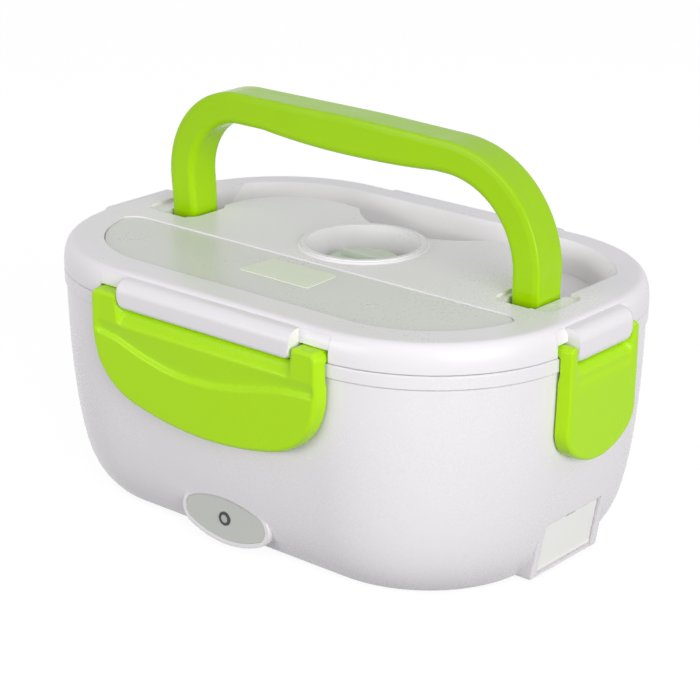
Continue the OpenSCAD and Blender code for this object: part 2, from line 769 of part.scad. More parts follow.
module spoon_plan(inset) {
    r = spoon_corner_r - inset;
    side_x = half_length - spoon_inset;
    cx = side_x - spoon_corner_r - 0.6;
    cy = spoon_edge_y - spoon_corner_r;
    difference() {
        intersection() {
            outline(spoon_inset + inset);
            translate([-half_length, -half_width])
                square([2 * half_length, half_width + spoon_edge_y - inset]);
        }
        for (s = [-1, 1]) difference() {
            translate([s * (cx + 20), cy + 20]) square([40, 40], center = true);
            translate([s * cx, cy]) circle(r = r);
        }
    }
}

// The hand recess behind the legs, grown outwards by grow, from its floor upwards
module recess(grow) {
    z = channel_z - grow;
    low = recess_inset - grow;
    high = recess_inset - recess_wide - grow;
    xe = half_length - recess_end_inset + grow;
    difference() {
        intersection() {
            union() {
                sweep([[40, z], [low, z], [low, channel_z + recess_low], [high + 0.8, lid_top - 0.8],
                       [high, lid_top + 0.1], [40, lid_top + 0.1]]);
                slab(39, z, lid_top + 0.1);
            }
            translate([-xe, pivot_y + recess_front - grow, 0]) cube([2 * xe, half_width, 120]);
        }
        translate([0, pivot_y, 0]) linear_extrude(120) difference() {
            handle_inner(channel_gap + grow);
            translate([0, notch_y]) circle(r = notch_r + grow, $fn = 180);
        }
        translate([0, vent_y, 0]) cylinder(r = vent_lip_r - grow, h = 120);
    }
}

// The dished shelf round the foot of a leg
module leg_shelf() {
    x0 = handle_half - leg_t - shelf_in;
    x1 = handle_half + shelf_out;
    y0 = pivot_y - channel_front - 0.4;
    y1 = pivot_y + recess_front;
    translate([(x0 + x1) / 2, (y0 + y1) / 2]) rounded(x1 - x0, y1 - y0, shelf_r);
}

module barrel(half, out) {
    translate([-half, -out, hinge_z]) rotate([0, 90, 0]) cylinder(r = barrel_r, h = 2 * half);
    translate([-half, -out, hinge_z - barrel_r])
        cube([2 * half, barrel_r, 2 * barrel_r]);
}

module barrel_cuts(half, latch_half, out) {
    for (s = [-1, 1]) {
        mirror([s < 0 ? 1 : 0, 0, 0]) {
            translate([half - latch_pin_l - 1, -out, hinge_z]) rotate([0, 90, 0])
                cylinder(r = latch_pin_r + pin_fit, h = latch_pin_l + 2);
            translate([half, -out, hinge_z]) rotate([0, 90, 0])
                cylinder(r = barrel_r + latch_gap, h = latch_half - half + latch_gap);
            translate([half, -out - 20, hinge_z - barrel_r - 20])
                cube([latch_half - half + latch_gap, 20 + 1, 40 + barrel_r]);
            translate([half, -out - 1, hinge_z - barrel_r - 20])
                cube([latch_half - half + latch_gap, 1 + barrel_r + latch_gap, 20 + barrel_r]);
        }
    }
}

// Repeats a piece drawn at the front for the back, or for both ends
module at_side(back) rotate([0, 0, back ? 180 : 0]) children();
module at_end(left) rotate([0, 0, left ? -90 : 90]) children();

module lid_shell() {
    lt = lid_top;
    color([0.93, 0.93, 0.92]) difference() {
        union() {
            sweep(concat([for (i = [0 : lid_steps]) lid_edge(i)],
                  [[19, lt], [19, plate_z], [2.4 + lid_wall, plate_z],
                   [1 + lid_wall, plate_z - 3], [lid_wall, lid_z]]));
            slab(18, plate_z, lt);
            intersection() {
                recess(channel_wall);
                slab(recess_inset - recess_wide - channel_wall - 1, 0, plate_z + tiny);
            }
            translate([0, vent_y, vent_floor_z - channel_wall])
                cylinder(r = vent_well_r + channel_wall, h = lt - vent_floor_z);
            translate([0, vent_y, lt - 1]) cylinder(r = vent_lip_r - 1, h = 1 + vent_lip_h);
            translate([0, vent_y, lt - 1])
                cylinder(r1 = vent_lip_r + 0.8, r2 = vent_lip_r - 0.6, h = vent_lip_h + 0.4);
            translate([0, 0, channel_z - channel_wall])
                linear_extrude(plate_z - channel_z + channel_wall + tiny)
                    channel_plan(channel_wall);
            translate([0, 0, spoon_floor_z - channel_wall])
                linear_extrude(plate_z - spoon_floor_z + channel_wall + tiny)
                    spoon_plan(spoon_ledge - channel_wall);
            translate([0, 0, spoon_cover_z - 0.4 - channel_wall])
                linear_extrude(plate_z - spoon_cover_z + 0.4 + channel_wall + tiny)
                    spoon_plan(-channel_wall);
            for (s = [-1, 1]) translate([s * (handle_half - leg_t / 2), pivot_y, 0])
                translate([-leg_t / 2 - channel_gap - lug_t, -6, pivot_z - handle_d / 2])
                    cube([leg_t + 2 * (channel_gap + lug_t), 12, plate_z - pivot_z + handle_d / 2 + tiny]);
            for (b = [false, true]) at_side(b) barrel(side_bar_half, barrel_out);
            for (l = [false, true]) at_end(l) barrel(end_bar_half, end_barrel_out);
        }
        translate([0, 0, channel_z]) linear_extrude(40) channel_plan(0);
        recess(0);
        for (s = [0, 1]) mirror([s, 0, 0])
            translate([0, 0, lt - shelf_h]) linear_extrude(40) leg_shelf();
        translate([0, 0, spoon_floor_z]) linear_extrude(40) spoon_plan(spoon_ledge);
        translate([0, 0, spoon_cover_z - 0.4]) linear_extrude(40) spoon_plan(0);
        translate([0, vent_y, vent_floor_z]) cylinder(r = vent_well_r, h = 40);
        translate([0, vent_y, vent_floor_z - 9]) cylinder(r = stem_r + 3, h = 20);
        for (s = [-1, 1]) translate([s * (handle_half - leg_t / 2), pivot_y, pivot_z])
            rotate([0, 90, 0]) cylinder(r = pin_r + pin_fit,
                h = leg_t + 2 * channel_gap + 2 * pin_reach + 0.4, center = true);
        for (b = [false, true]) at_side(b)
            barrel_cuts(side_bar_half, side_latch_half, barrel_out);
        for (l = [false, true]) at_end(l)
            barrel_cuts(end_bar_half, end_latch_half, end_barrel_out);
    }
}

module lid_liner() {
    color([0.9, 0.9, 0.89]) difference() {
        union() {
            slab(liner_inset, liner_z, liner_z + liner_t);
            ring(liner_inset, liner_inset + liner_wall, liner_z, lid_z + 1.4);
            ring(liner_flange_inset, liner_inset + liner_wall, lid_z + 0.2, lid_z + 1.4);
        }
        translate([0, vent_y, liner_z - 1]) cylinder(r = stem_r + 3, h = 6);
    }
}

module lid_seal() {
    o = mouth_inset + 0.5;
    z = tray_flange_z + tray_wall + 0.4;
    color([0.8, 0.82, 0.82]) sweep([[o, z], [o, z + 1.2], [o + 1, z + 1.8],
        [o + 0.2, z + 2.6], [o + 0.2, z + seal_h], [liner_inset, z + seal_h],
        [liner_inset, z]]);
}

module vent_seat() {
    z = liner_z - 0.6;
    color([0.75, 0.77, 0.77]) translate([0, vent_y, 0]) difference() {
        union() {
            translate([0, 0, z]) cylinder(r = stem_r + 5, h = 0.6);
            translate([0, 0, z]) cylinder(r = stem_r + 2.9, h = vent_floor_z - z);
            translate([0, 0, vent_floor_z]) cylinder(r = stem_r + 5, h = 0.8);
        }
        translate([0, 0, z - 1]) cylinder(r = stem_r + pin_fit, h = 20);
    }
}

module vent_plug() {
    z = vent_floor_z + 0.8 + 0.4;
    color([0.86, 0.87, 0.86]) translate([0, vent_y, 0]) union() {
        translate([0, 0, liner_z - 0.4]) cylinder(r = stem_r, h = z - liner_z + 0.4 + tiny);
        translate([0, 0, z]) cylinder(r = plug_r, h = plug_h - 1);
        translate([0, 0, z + plug_h - 1]) cylinder(r1 = plug_r, r2 = plug_r - 1, h = 1);
        translate([-plug_r * 0.7, -1.5, z + plug_h - tiny]) cube([plug_r * 1.4, 3, 2.2]);
    }
}

module spoon() {
    z = spoon_floor_z + 0.4;
    y = (spoon_edge_y - half_width + spoon_inset) / 2;
    bowl = spoon_bowl_w / 2;
    x0 = -spoon_l / 2 + bowl + 4;
    color([0.76, 0.77, 0.78]) translate([x0, y, z]) union() {
        difference() {
            union() {
                cylinder(r = bowl, h = 6.4);
            }
            translate([0, 0, 44 + spoon_t]) sphere(r = 44, $fn = 180);
            difference() {
                translate([0, 0, -1]) cylinder(r = bowl + 1, h = 9);
                translate([0, 0, 44]) sphere(r = 44, $fn = 180);
            }
        }
        translate([bowl - 2, -3, 0.6]) cube([38, 6, spoon_t]);
    }
    color([0.66, 0.83, 0.25]) translate([x0 + bowl + 30, y, z])
        linear_extrude(4) rounded_bar(spoon_l - 2 * bowl - 40, 11);
}

// A bar of length l that starts at X = 0, with round ends
module rounded_bar(l, w) {
    translate([w / 2, -w / 2]) square([l - w, w]);
    for (x = [w / 2, l - w / 2]) translate([x, 0]) circle(r = w / 2);
}

module spoon_cover() {
    color([0.86, 0.88, 0.86, 0.6]) translate([0, 0, spoon_cover_z])
        linear_extrude(spoon_cover_t) spoon_plan(spoon_cover_gap);
}

// ---- Handle ----

module handle() {
    d = handle_d;
    color([0.66, 0.85, 0.18]) translate([0, pivot_y, pivot_z]) difference() {
        intersection() {
            rotate([90, 0, 0]) translate([0, 0, -d / 2]) linear_extrude(d) difference() {
                handle_outer(0);
                handle_inner(0);
            }
            union() {
                rotate([0, 90, 0]) cylinder(r = d / 2, h = 300, center = true);
                translate([-150, -d / 2, 0]) cube([300, d, 100]);
            }
            // Eased edges on the top of the grip
            rotate([90, 0, 90]) linear_extrude(300, center = true)
                polygon([[-d / 2, -50], [d / 2, -50], [d / 2, handle_rise - 2.5],
                         [d / 2 - 0.8, handle_rise - 0.8], [d / 2 - 2.5, handle_rise],
                         [-d / 2 + 2.5, handle_rise], [-d / 2 + 0.8, handle_rise - 0.8],
                         [-d / 2, handle_rise - 2.5]]);
        }
        rotate([0, 90, 0]) cylinder(r = pin_r, h = 300, center = true);
    }
}

module handle_pins() {
    l = leg_t + 2 * channel_gap + 2 * pin_reach;
    color([0.7, 0.71, 0.72])
        for (s = [-1, 1]) translate([s * (handle_half - leg_t / 2), pivot_y, pivot_z])
            rotate([0, 90, 0]) cylinder(r = pin_r, h = l, center = true);
}

// ---- Latches ----

// A latch's front view: half-width w, lowest point low, bottom radius r, corner radius c
module latch_view(w, low, r, c, grow) {
    top = hinge_z - barrel_r - latch_gap;
    zc = low + r;
    xk = w - c;
    zk = zc - sqrt(pow(r - c, 2) - xk * xk);
    u = [xk / (r - c), (zc - zk) / (r - c)];
    intersection() {
        union() {
            translate([-w + grow, zk]) square([2 * (w - grow), top - zk]);
            for (s = [-1, 1]) translate([s * xk, zk]) circle(r = c - grow);
            intersection() {
                translate([0, zc]) circle(r = r - grow, $fn = 180);
                polygon([[0, zc], [-u[0] * 2 * r, zc - u[1] * 2 * r],
                         [u[0] * 2 * r, zc - u[1] * 2 * r]]);
            }
        }
        translate([-w, low - 1]) square([2 * w, top - low + 1]);
    }
}

// Runs a profile straight along a side: X is the distance from the middle, Y the height
module along(l) {
    rotate([90, 0, -90]) linear_extrude(l, center = true) children();
}

// Side view of a latch's face, from depth behind the wall's line to near in front of it
module latch_side(half, near, lean) {
    polygon([[half + near - lean, 40], [half + near - lean * 0.5, 58], [half + near, 76],
             [half + near, hinge_z + barrel_r + 2], [half - 30, hinge_z + barrel_r + 2],
             [half - 30, 40]]);
}

// The scooped strip under the barrel, seen from the side
module scoop_side(half, top) {
    f = half + latch_proud;
    polygon([[f + 2, top - latch_scoop_h], [f, top - latch_scoop_h],
             [f - 0.5 * latch_scoop_in, top - 0.7 * latch_scoop_h],
             [f - 0.85 * latch_scoop_in, top - 0.35 * latch_scoop_h],
             [f - latch_scoop_in, top + 0.2], [f + 2, top + 0.2]]);
}

// The upper part of the face, above the lip's curved edge
module above_lip(w) {
    sag = lip_end_z - lip_mid_z;
    rs = (w * w + sag * sag) / (2 * sag);
    difference() {
        translate([-w, lip_mid_z - 1]) square([2 * w, 50]);
        translate([0, 0]) difference() {
            translate([-w - 1, lip_mid_z - 20]) square([2 * w + 2, 20 + sag + 1]);
            translate([0, lip_mid_z + rs]) circle(r = rs, $fn = 360);
        }
    }
}

module latch(bar, w, low, r, c, half, step) {
    p = latch_proud;
    g = latch_gap;
    out = half + p - barrel_r;
    top = hinge_z - barrel_r - g;
    catch_low = band_z - g - catch_h;
    cavity_top = catch_low + 1;
    color([0.68, 0.87, 0.2]) difference() {
        union() {
            difference() {
                intersection() {
                    along(2 * w) latch_side(half, p, latch_lean);
                    upright(-200, 200) latch_view(w, low, r, c, 0);
                }
                intersection() {
                    along(2 * w) latch_side(half, p - latch_t, latch_lean);
                    upright(-200, 200) latch_view(w, low, r, c, latch_t);
                    translate([-w, -200, 30]) cube([2 * w, 200, cavity_top - 30]);
                }
            }
            // The catch's rib, just outside the seam band
            translate([4 - bar, -half - p + 1.5, catch_low])
                cube([2 * (bar - 4), p - 1.5 - g, catch_h]);
            // Ears round the hinge
            for (s = [-1, 1]) translate([s * (bar + g + w) / 2, 0, 0]) {
                translate([0, -out, hinge_z]) rotate([0, 90, 0])
                    cylinder(r = barrel_r, h = w - bar - g, center = true);
                translate([(bar + g - w) / 2, -out - barrel_r, top - 3])
                    cube([w - bar - g, barrel_r, hinge_z - top + 3]);
            }
        }
        // Nothing of the latch is nearer to the seam band than its gap
        translate([-100, -half - g, 0]) cube([200, 60, seam_z + g]);
        along(2 * bar + 1) scoop_side(half, top);
        if (step > 0) intersection() {
            along(2 * (w - 2.5)) translate([half + p - step, 40]) square([10, 60]);
            upright(-200, 200) intersection() {
                above_lip(w);
                translate([-w + 2.5, 40]) square([2 * w - 5, top - 1 - 40]);
            }
        }
    }
    color([0.68, 0.87, 0.2]) for (s = [-1, 1])
        translate([s * (bar + (g + 1 - latch_pin_l) / 2), -out, hinge_z]) rotate([0, 90, 0])
            cylinder(r = latch_pin_r, h = latch_pin_l + g + 1, center = true);
}

module side_latch() {
    latch(side_bar_half, side_latch_half, side_latch_low, side_latch_r, side_latch_corner,
          half_width, latch_step);
}

module end_latch() {
    latch(end_bar_half, end_latch_half, end_latch_low, end_latch_r, end_latch_corner,
          half_length, 0);
}

module latch_front() at_side(false) side_latch();
module latch_back() at_side(true) side_latch();
module latch_right() at_end(false) end_latch();
module latch_left() at_end(true) end_latch();

outer_shell();
bottom_cover();
feet();
cover_screws();
inner_well();
heating_plate();
heater();
thermal_cutout();
wires();
inlet_socket();
inlet_pins();
inlet_flap();
lamp_panel();
lamp_lens();
lamp_board();
food_tray();
side_dish();
dish_lid();
lid_shell();
lid_liner();
lid_seal();
vent_seat();
vent_plug();
spoon();
spoon_cover();
handle();
handle_pins();
latch_front();
latch_back();
latch_left();
latch_right();
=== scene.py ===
"""Dresses the electric lunch box: own meshes over the fixed frame, finishes, stage and camera."""

import json
import math

import bmesh
import bpy
from mathutils import Matrix, Vector
from mathutils.geometry import delaunay_2d_cdt

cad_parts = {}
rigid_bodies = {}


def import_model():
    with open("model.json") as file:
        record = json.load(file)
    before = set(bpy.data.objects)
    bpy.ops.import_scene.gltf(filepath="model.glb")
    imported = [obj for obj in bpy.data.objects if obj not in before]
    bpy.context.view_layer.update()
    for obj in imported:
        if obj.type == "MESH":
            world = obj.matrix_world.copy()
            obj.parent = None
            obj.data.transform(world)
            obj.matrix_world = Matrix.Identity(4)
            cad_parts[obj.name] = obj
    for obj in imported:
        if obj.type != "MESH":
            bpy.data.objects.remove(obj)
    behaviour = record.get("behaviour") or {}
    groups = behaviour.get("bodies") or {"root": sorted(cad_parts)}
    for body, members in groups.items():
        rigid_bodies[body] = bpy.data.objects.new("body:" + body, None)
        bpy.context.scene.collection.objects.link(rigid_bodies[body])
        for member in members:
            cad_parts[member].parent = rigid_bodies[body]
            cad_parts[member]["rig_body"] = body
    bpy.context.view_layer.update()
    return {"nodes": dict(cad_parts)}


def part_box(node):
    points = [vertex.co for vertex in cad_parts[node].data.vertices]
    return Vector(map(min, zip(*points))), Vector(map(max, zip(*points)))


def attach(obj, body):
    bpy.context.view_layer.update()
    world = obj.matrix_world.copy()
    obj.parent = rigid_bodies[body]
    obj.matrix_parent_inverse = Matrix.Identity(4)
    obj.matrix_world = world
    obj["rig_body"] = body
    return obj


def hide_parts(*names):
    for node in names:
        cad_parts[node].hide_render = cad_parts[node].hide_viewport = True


bl_info = {
    "name": "Lunch box dressing",
    "version": (1, 0, 0),
    "blender": (4, 5, 0),
    "location": "View3D > Sidebar > Lunch box",
    "description": "Builds the visible pieces, the finishes and the studio of the lunch box",
    "category": "Object",
}

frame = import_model()
MM = 0.001

# Sizes shared with the frame, in millimetres
HALF_L, HALF_W, CORNER_R = 114.0, 78.8, 62.0
SEAM_Z, BAND_Z, BASE_Z, LID_TOP = 90.0, 84.5, 1.5, 101.0
HINGE_Z, BARREL_R, LATCH_GAP = 95.2, 4.6, 0.5
PIVOT_Y, PIVOT_Z = 3.1, 97.0

# Height where the latches' ears end
EAR_TOP = 94.5
# How far a latch's face stands beyond the body's half size, and its hinge's axis does
PROUD, AXIS_OUT = 5.0, 0.4
# A hinge bar's half length and the outer end of the notch beside it, on a long side and at an end
SIDE_BAR, SIDE_NOTCH = 42.3, 56.6
END_BAR, END_NOTCH = 16.4, 22.6
# The lid's shoulders above the ears: lower edge, height and thickness
SHOULDER_Z, SHOULDER_H, SHOULDER_T = 94.8, 5.1, 2.0

# The handle: half width, rise over the pivot, width of a leg and half its depth
HANDLE_HALF, HANDLE_RISE, HANDLE_LEG, HANDLE_HALF_D = 91.6, 57.2, 12.7, 7.45
# How far its legs reach below the pivot, and how much deeper its back face lies above the lid
HANDLE_FOOT, HANDLE_BACK = 7.4, 0.5
# How far the grip swells inwards at its middle, and how far along X the swelling reaches
SWELL, SWELL_X = 2.6, 42.0
# Radius of the bend, flare of the leg and drop of the grip's end, on the right and on the left
HANDLE_HALVES = ((44.2, 0.0, 1.2), (37.0, 1.1, 0.0))

# Where the spoon's coloured grip starts along X, in metres
GRIP_X = -0.007

# The camera: azimuth, elevation and roll in degrees, target in millimetres, distance in metres,
# and focal length in pixels of a square frame
CAMERA_ANGLES = (40.15, 20.18, 0.33)
CAMERA_TARGET = (-1.98, 2.66, 58.6)
CAMERA_DISTANCE = 0.8516
FOCAL_PX, FRAME_PX, SENSOR_MM = 2166.59, 700, 36.0

# Each lamp's name, power in watts, size and place in metres, and the point that all of them face
LAMPS = (
    ("Key from the right", 12.2, (0.9, 0.7), (1.25, -0.5, 0.42)),
    ("Front fill", 7.6, (1.0, 0.5), (-0.5, -1.4, 0.42)),
    ("Overhead", 0.9, (0.9, 0.9), (-0.2, 0.5, 1.4)),
)
LAMP_TARGET = (0, 0, 0.07)
# Strength of the world's light on the object; the floor sheet's grey, its glow as seen and half
# its width in millimetres
WORLD_FILL, FLOOR_GREY, FLOOR_GLOW, FLOOR_HALF = 0.46, 0.17, 0.9, 3000

# Places a point (along the side, up, outwards) on each side of the box
PLACES = {
    "front": lambda u, v, w: (u, -w, v),
    "back": lambda u, v, w: (-u, w, v),
    "right": lambda u, v, w: (w, u, v),
    "left": lambda u, v, w: (-w, -u, v),
}

# The two kinds of latch. low, r and c: lowest point, radius of the bottom edge and of its corners.
# top_z: top edge under the bar. ear_r, ear_in: outer and inner top corner of an ear. share: of the
# edge and wall in LunchBoxSizes. scoop_z, scoop_in: start and depth of the strip under the bar.
# lip: height of the lip across the face.
SIDE_LATCH = dict(half=HALF_W, low=47.4, r=137, c=28, bar=SIDE_BAR, top_z=88.2, ear_r=3.2,
                  ear_in=2.2, share=1.0, scoop_z=82.8, scoop_in=2.8, lip=1.5)
END_LATCH = dict(half=HALF_L, low=47, r=28, c=13, bar=END_BAR, top_z=86.6, ear_r=2.2,
                 ear_in=1.7, share=0.8, scoop_z=83.6, scoop_in=2.2, lip=0)
# Each latch's kind and its half widths on its own left and right
LATCHES = {
    "front": (SIDE_LATCH, (57.4, 56)),
    "back": (SIDE_LATCH, (56, 57.4)),
    "right": (END_LATCH, (22, 22)),
    "left": (END_LATCH, (22, 22)),
}


def srgb(r, g, b, a=1.0):
    """A colour picked on screen, as the linear value that the shaders take."""

    def one(c):
        c /= 255
        return c / 12.92 if c <= 0.04045 else ((c + 0.055) / 1.055) ** 2.4

    return (one(r), one(g), one(b), a)


def smooth_step(t):
    t = min(1.0, max(0.0, t))
    return t * t * (3 - 2 * t)


def wall_inset(z):
    """Inset of the base's outer wall at height z."""
    t = min(1.0, max(0.0, (z - BASE_Z) / (SEAM_Z - BASE_Z)))
    return 0.8 + 8.8 * (1 - t) ** 2.4 + 6.4 * (1 - t) ** 12


# ---- Sizes and colours that a user would change ----


def colour_prop(name, text, value):
    return bpy.props.FloatVectorProperty(
        name=name, description=text, subtype="COLOR", size=4, min=0, max=1, default=value
    )


def length_prop(name, text, value, low, high):
    return bpy.props.FloatProperty(
        name=name, description=text, subtype="DISTANCE", unit="LENGTH",
        default=value * MM, min=low * MM, max=high * MM, precision=5,
    )


class LunchBoxColours(bpy.types.PropertyGroup):
    body: colour_prop("Body", "Colour of the base and the lid", srgb(242, 239, 242))
    green: colour_prop("Green", "Colour of the handle", srgb(164, 216, 0))
    latch: colour_prop("Latch", "Colour of the latches", srgb(184, 238, 24))
    flap: colour_prop("Flap", "Colour of the inlet's flap", srgb(250, 250, 246))
    panel: colour_prop("Panel", "Colour of the indicator's panel", srgb(204, 206, 200))
    plate: colour_prop("Plate", "Colour of the bare plate on the cover", srgb(232, 240, 220))
    window: colour_prop("Window", "Colour of the frosted cover", srgb(242, 243, 238))


class LunchBoxSizes(bpy.types.PropertyGroup):
    latch_edge: length_prop("Latch edge", "Rounding round a latch's face", 1.5, 0.4, 2.0)
    latch_wall: length_prop("Latch wall", "Wall of a latch", 2.0, 1.2, 2.4)
    handle_edge: length_prop("Handle edge", "Rounding of the handle's outer edges", 1.0, 0.5, 3.0)
    soft_edge: length_prop("Soft edge", "Rounding that the white shells show", 0.5, 0.1, 1.0)
    plate_t: length_prop("Plate thickness", "Thickness of the bare plate", 0.25, 0.1, 0.5)


# ---- Mesh helpers ----


def make_object(name, verts, faces, materials=(), smooth=True, sharp=None):
    """A closed mesh object from points in millimetres, welded, with its faces pointing outwards."""
    mesh = bpy.data.meshes.new(name)
    mesh.from_pydata([(x * MM, y * MM, z * MM) for x, y, z in verts], [], faces)
    bm = bmesh.new()
    bm.from_mesh(mesh)
    bmesh.ops.remove_doubles(bm, verts=bm.verts, dist=2e-7)
    bmesh.ops.dissolve_degenerate(bm, dist=1e-7, edges=bm.edges)
    bmesh.ops.recalc_face_normals(bm, faces=bm.faces)
    for f in bm.faces:
        f.smooth = smooth
    if sharp:
        for e in bm.edges:
            if len(e.link_faces) == 2 and e.calc_face_angle(0) > math.radians(sharp):
                e.smooth = False
    bm.to_mesh(mesh)
    bm.free()
    obj = bpy.data.objects.new(name, mesh)
    bpy.context.scene.collection.objects.link(obj)
    for m in materials:
        mesh.materials.append(m)
    return obj


def merged_copy(node, name, material, sharp=30):
    """A welded copy of a CAD node that shades smoothly across shallow angles."""
    mesh = frame["nodes"][node].data.copy()
    mesh.name = name
    bm = bmesh.new()
    bm.from_mesh(mesh)
    bmesh.ops.remove_doubles(bm, verts=bm.verts, dist=1e-6)
    for f in bm.faces:
        f.smooth = True
        f.material_index = 0
    for e in bm.edges:
        e.smooth = len(e.link_faces) == 2 and e.calc_face_angle(0) < math.radians(sharp)
    bm.to_mesh(mesh)
    bm.free()
    if "custom_normal" in mesh.attributes:
        mesh.attributes.remove(mesh.attributes["custom_normal"])
    obj = bpy.data.objects.new(name, mesh)
    bpy.context.scene.collection.objects.link(obj)
    mesh.materials.clear()
    mesh.materials.append(material)
    return obj


def offset_loop(loop, inset):
    """The closed loop (counterclockwise) moved inwards, by one inset or by one for each point."""
    n = len(loop)
    insets = inset if isinstance(inset, list) else [inset] * n
    out = []
    for i in range(n):
        a, b, c = loop[i - 1], loop[i], loop[(i + 1) % n]
        t1 = Vector((b[0] - a[0], b[1] - a[1])).normalized()
        t2 = Vector((c[0] - b[0], c[1] - b[1])).normalized()
        n1, n2 = Vector((-t1.y, t1.x)), Vector((-t2.y, t2.x))
        m = (n1 + n2).normalized()
        k = max(0.5, m.dot(n1))
        out.append((b[0] + m.x * insets[i] / k, b[1] + m.y * insets[i] / k))
    return out


def resample(loop, step):
    """The same closed loop with points about step apart, corners kept."""
    out = []
    n = len(loop)
    for i in range(n):
        a, b = loop[i], loop[(i + 1) % n]
        d = math.dist(a, b)
        k = max(1, round(d / step))
        out += [(a[0] + (b[0] - a[0]) * j / k, a[1] + (b[1] - a[1]) * j / k) for j in range(k)]
    return out


def fill(loop, step):
    """Triangles inside the loop over a grid of points: (points, faces)."""
    n = len(loop)
    ys = [p[1] for p in loop]
    pts = [Vector(p) for p in loop]
    y0, y1 = min(ys), max(ys)
    rows = max(1, int((y1 - y0) / step))
    for r in range(1, rows):
        y = y0 + (y1 - y0) * r / rows
        cuts = sorted(
            loop[i][0] + (y - loop[i][1]) * (loop[(i + 1) % n][0] - loop[i][0])
            / (loop[(i + 1) % n][1] - loop[i][1])
            for i in range(n)
            if (loop[i][1] > y) != (loop[(i + 1) % n][1] > y)
        )
        for a, b in zip(cuts[::2], cuts[1::2]):
            k = int((b - a) / step)
            shift = 0.5 * step * (r % 2) / max(b - a, 1e-6)
            for j in range(1, k):
                t = j / k + shift
                if t * (b - a) < (b - a) - 0.5 * step:
                    pts.append(Vector((a + (b - a) * t, y)))
    edges = [(i, (i + 1) % n) for i in range(n)]
    points, _, tris, *_ = delaunay_2d_cdt(pts, edges, [], 1, 1e-7)
    return [tuple(p) for p in points], [tuple(q) for q in tris]


def moulded_plate(loop, front, rim, wall, edge, place, step=1.2, hollow=True, draft=None):
    """A moulded cap over an outline: a front face with a rounded edge, sides with a draft down
    to the rim and, where hollow, an inner face one wall behind the front one.
    front(u, v) and rim(u, v) give how far out each lies; place(u, v, w) puts a point in space."""
    verts, faces = [], []
    lean = [draft(u, v) if draft else 0.0 for u, v in loop]

    def inside(extra):
        return offset_loop(loop, [d + extra for d in lean])

    def above_rim(u, v, depth):
        return max(front(u, v) - depth, rim(u, v) + 0.05)

    def add_ring(points, heights):
        start = len(verts)
        verts.extend(place(u, v, w) for (u, v), w in zip(points, heights))
        return start

    def bridge(a, b, n):
        for i in range(n):
            j = (i + 1) % n
            faces.append((a + i, a + j, b + j, b + i))

    n = len(loop)
    rings = []
    low = [rim(u, v) for u, v in loop]
    rings.append(add_ring(loop, low))
    for a in (0, 15, 30, 45, 60, 75, 90):
        s = edge * (1 - math.cos(math.radians(a)))
        h = edge * (1 - math.sin(math.radians(a)))
        pts = inside(s)
        rings.append(add_ring(pts, [above_rim(u, v, h) for u, v in pts]))
    for a, b in zip(rings, rings[1:]):
        bridge(a, b, n)
    top = inside(edge)
    pts, tris = fill(top, step)
    base = len(verts)
    verts.extend(place(u, v, above_rim(u, v, 0)) for u, v in pts)
    faces.extend(tuple(base + i for i in t) for t in tris)
    if hollow:
        mouth, deep = offset_loop(loop, wall), inside(wall)
        a = add_ring(mouth, [rim(u, v) for u, v in loop])
        b = add_ring(deep, [above_rim(u, v, wall) for u, v in deep])
        bridge(rings[0], a, n)
        bridge(a, b, n)
        pts, tris = fill(deep, 2 * step)
        base = len(verts)
        verts.extend(place(u, v, above_rim(u, v, wall)) for u, v in pts)
        faces.extend(tuple(base + i for i in t) for t in tris)
    else:
        pts, tris = fill(loop, 3 * step)
        base = len(verts)
        verts.extend(place(u, v, rim(u, v)) for u, v in pts)
        faces.extend(tuple(base + i for i in t) for t in tris)
    return verts, faces


def tube(count, n, base=0):
    """Faces of a capped tube of count rings with n points each, the first point being base."""
    faces = []
    for a in range(count - 1):
        p, q = base + a * n, base + (a + 1) * n
        for i in range(n):
            j = (i + 1) % n
            faces.append((p + i, p + j, q + j, q + i))
    last = base + (count - 1) * n
    return faces + [tuple(range(base, base + n)), tuple(range(last, last + n))]


def arc(cx, cy, r, a0, a1, n):
    """Points on an arc between two angles in degrees."""
    return [
        (cx + r * math.cos(math.radians(a0 + (a1 - a0) * i / n)),
         cy + r * math.sin(math.radians(a0 + (a1 - a0) * i / n)))
        for i in range(n + 1)
    ]


# ---- Shader groups and finishes ----


class Tree:
    """Short calls for building a node tree."""

    def __init__(self, tree):
        self.tree = tree
        self.nodes = tree.nodes
        self.count = 0

    def node(self, kind, links=None, **settings):
        n = self.nodes.new(kind)
        self.count += 1
        n.location = (180 * (self.count % 8), -220 * (self.count // 8))
        for key, value in settings.items():
            setattr(n, key, value)
        for key, value in (links or {}).items():
            socket = n.inputs[key]
            if isinstance(value, bpy.types.NodeSocket):
                self.tree.links.new(value, socket)
            else:
                socket.default_value = value
        return n

    def math(self, operation, a, b=0.0):
        return self.node("ShaderNodeMath", {0: a, 1: b}, operation=operation).outputs[0]

    def noise(self, vector, scale, detail=2.0, roughness=0.5):
        return self.node(
            "ShaderNodeTexNoise",
            {"Vector": vector, "Scale": scale, "Detail": detail, "Roughness": roughness},
        ).outputs["Fac"]

    def span(self, value, a, b, c, d):
        return self.node(
            "ShaderNodeMapRange",
            {"Value": value, "From Min": a, "From Max": b, "To Min": c, "To Max": d},
        ).outputs["Result"]

    def mix(self, factor, a, b, blend="MIX"):
        n = self.node("ShaderNodeMix", data_type="RGBA", blend_type=blend)
        for socket, value in ((n.inputs[0], factor), (n.inputs[6], a), (n.inputs[7], b)):
            if isinstance(value, bpy.types.NodeSocket):
                self.tree.links.new(value, socket)
            else:
                socket.default_value = value
        return n.outputs[2]


SOCKETS = {"color": "NodeSocketColor", "float": "NodeSocketFloat", "vector": "NodeSocketVector"}


